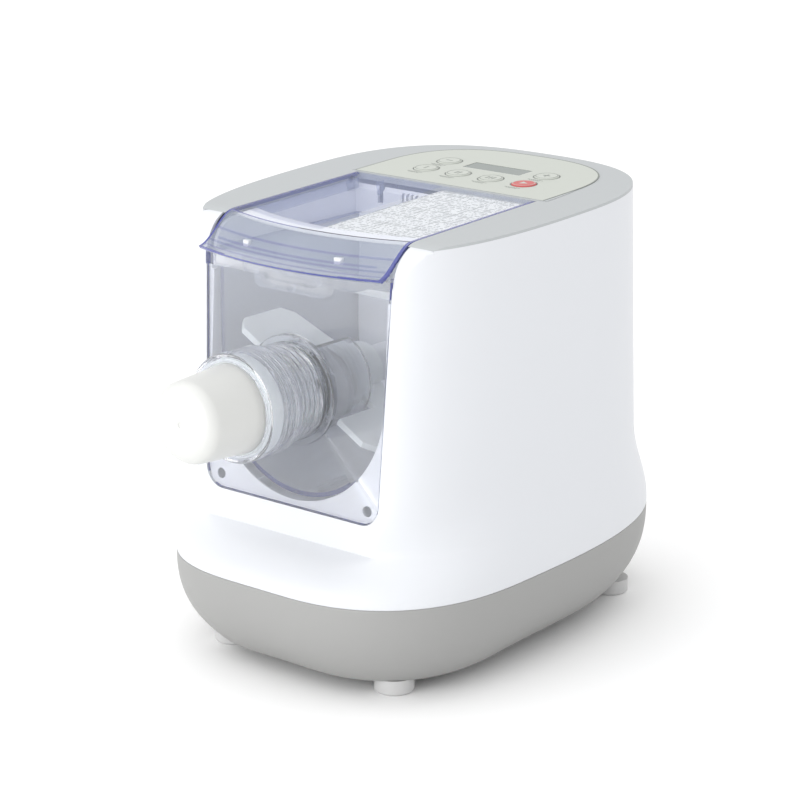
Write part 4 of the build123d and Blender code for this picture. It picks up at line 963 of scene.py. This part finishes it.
def make_panel_film():
    """Printed film over the panel, with a thin dark border and narrow gaps round the keys."""
    for name, grow, high, gap, material in (("panel_base", -0.2, 0.24, 0.3, "print"),
                                            ("panel_film", 0.0, FILM_TOP, 0.85, "panel")):
        film = prism(name, film_outline(grow), 0.0, high, on_top)
        cuts = [prism(f"gap_{key}", circle(KEY_HOLE + gap, across, along, 48), -1, 2, on_top)
                for key, (across, along) in KEYS.items()]
        cuts.append(prism("window", bar(*DISPLAY), -1, 2, on_top))
        boolean(film, cuts)
        finish_piece(film, "housing", "panel", material=material)
    line = prism("panel_line", film_outline(0.7), 0.1, FILM_TOP + 0.03, on_top)
    boolean(line, [prism("inside", film_outline(-0.15, 40), -1, 2, on_top)])
    finish_piece(line, "housing", "panel", material="print")


# ---------------------------------------------------------------- the pieces

ROUNDED = rounded_shading()
for name, obj in nodes.items():
    obj.data.materials.clear()
    obj.data.materials.append(MATERIALS[SLOTS[name]])
    obj.modifiers.new("shading", "NODES").node_group = ROUNDED
nodes["control_panel"].data.materials[0] = MATERIALS["grey_cover"]     # only its edge shows round the film

make_shell()
make_base()
make_front_plate()
make_bowl()
make_nut()
make_cap()
make_lid()
make_lid_trim()
make_keys()
make_dashes()
make_panel_film()

# ---------------------------------------------------------------- stage, light and camera, in metres

bpy.ops.mesh.primitive_plane_add(size=12)
floor = bpy.context.object
floor.name = "floor"
floor.data.materials.append(principled("floor", (0.95, 0.95, 0.95), 0.8))

world = bpy.data.worlds.new("studio")
scene.world = world
world.use_nodes = True
world.node_tree.nodes["Background"].inputs["Color"].default_value = (1.0, 1.0, 1.0, 1.0)
world.node_tree.nodes["Background"].inputs["Strength"].default_value = 1.0


def area_light(name, place, target, width, power):
    """Square lamp that faces a target."""
    light = bpy.data.lights.new(name, "AREA")
    light.energy = power
    light.size = width
    obj = bpy.data.objects.new(name, light)
    scene.collection.objects.link(obj)
    obj.location = place
    obj.rotation_euler = (Vector(target) - Vector(place)).to_track_quat("-Z", "Y").to_euler()


area_light("window", (-0.1, -1.9, 0.45), (0, 0, 0.18), 1.4, 19)
area_light("key", (-1.3, -1.2, 1.5), (0, 0, 0.15), 1.4, 2)
sky = bpy.data.objects.new("sky", bpy.data.lights.new("sky", "SUN"))
sky.data.energy = 0.6
sky.data.angle = math.radians(70)
sky.rotation_euler = (math.radians(12), math.radians(-8), 0)
scene.collection.objects.link(sky)

CAMERA_PLACE = Vector((0.99862, -1.21710, 0.60556))
CAMERA_AZIMUTH = math.radians(39.29)
CAMERA_ELEVATION = math.radians(16.21)
CAMERA_ROLL = math.radians(0.159)

right = Vector((math.cos(CAMERA_AZIMUTH), math.sin(CAMERA_AZIMUTH), 0))
forward = Vector((-math.sin(CAMERA_AZIMUTH) * math.cos(CAMERA_ELEVATION),
                  math.cos(CAMERA_AZIMUTH) * math.cos(CAMERA_ELEVATION), -math.sin(CAMERA_ELEVATION)))
up = right.cross(forward)
rolled_right = right * math.cos(CAMERA_ROLL) + up * math.sin(CAMERA_ROLL)
rolled_up = up * math.cos(CAMERA_ROLL) - right * math.sin(CAMERA_ROLL)
camera = bpy.data.objects.new("camera", bpy.data.cameras.new("camera"))
scene.collection.objects.link(camera)
camera.data.lens = 120.908
camera.data.sensor_width = 36
camera.data.clip_start = 0.05
turn = Matrix((rolled_right, rolled_up, -forward)).transposed().to_4x4()
camera.matrix_world = Matrix.Translation(CAMERA_PLACE) @ turn
scene.camera = camera
scene.view_settings.view_transform = "Standard"
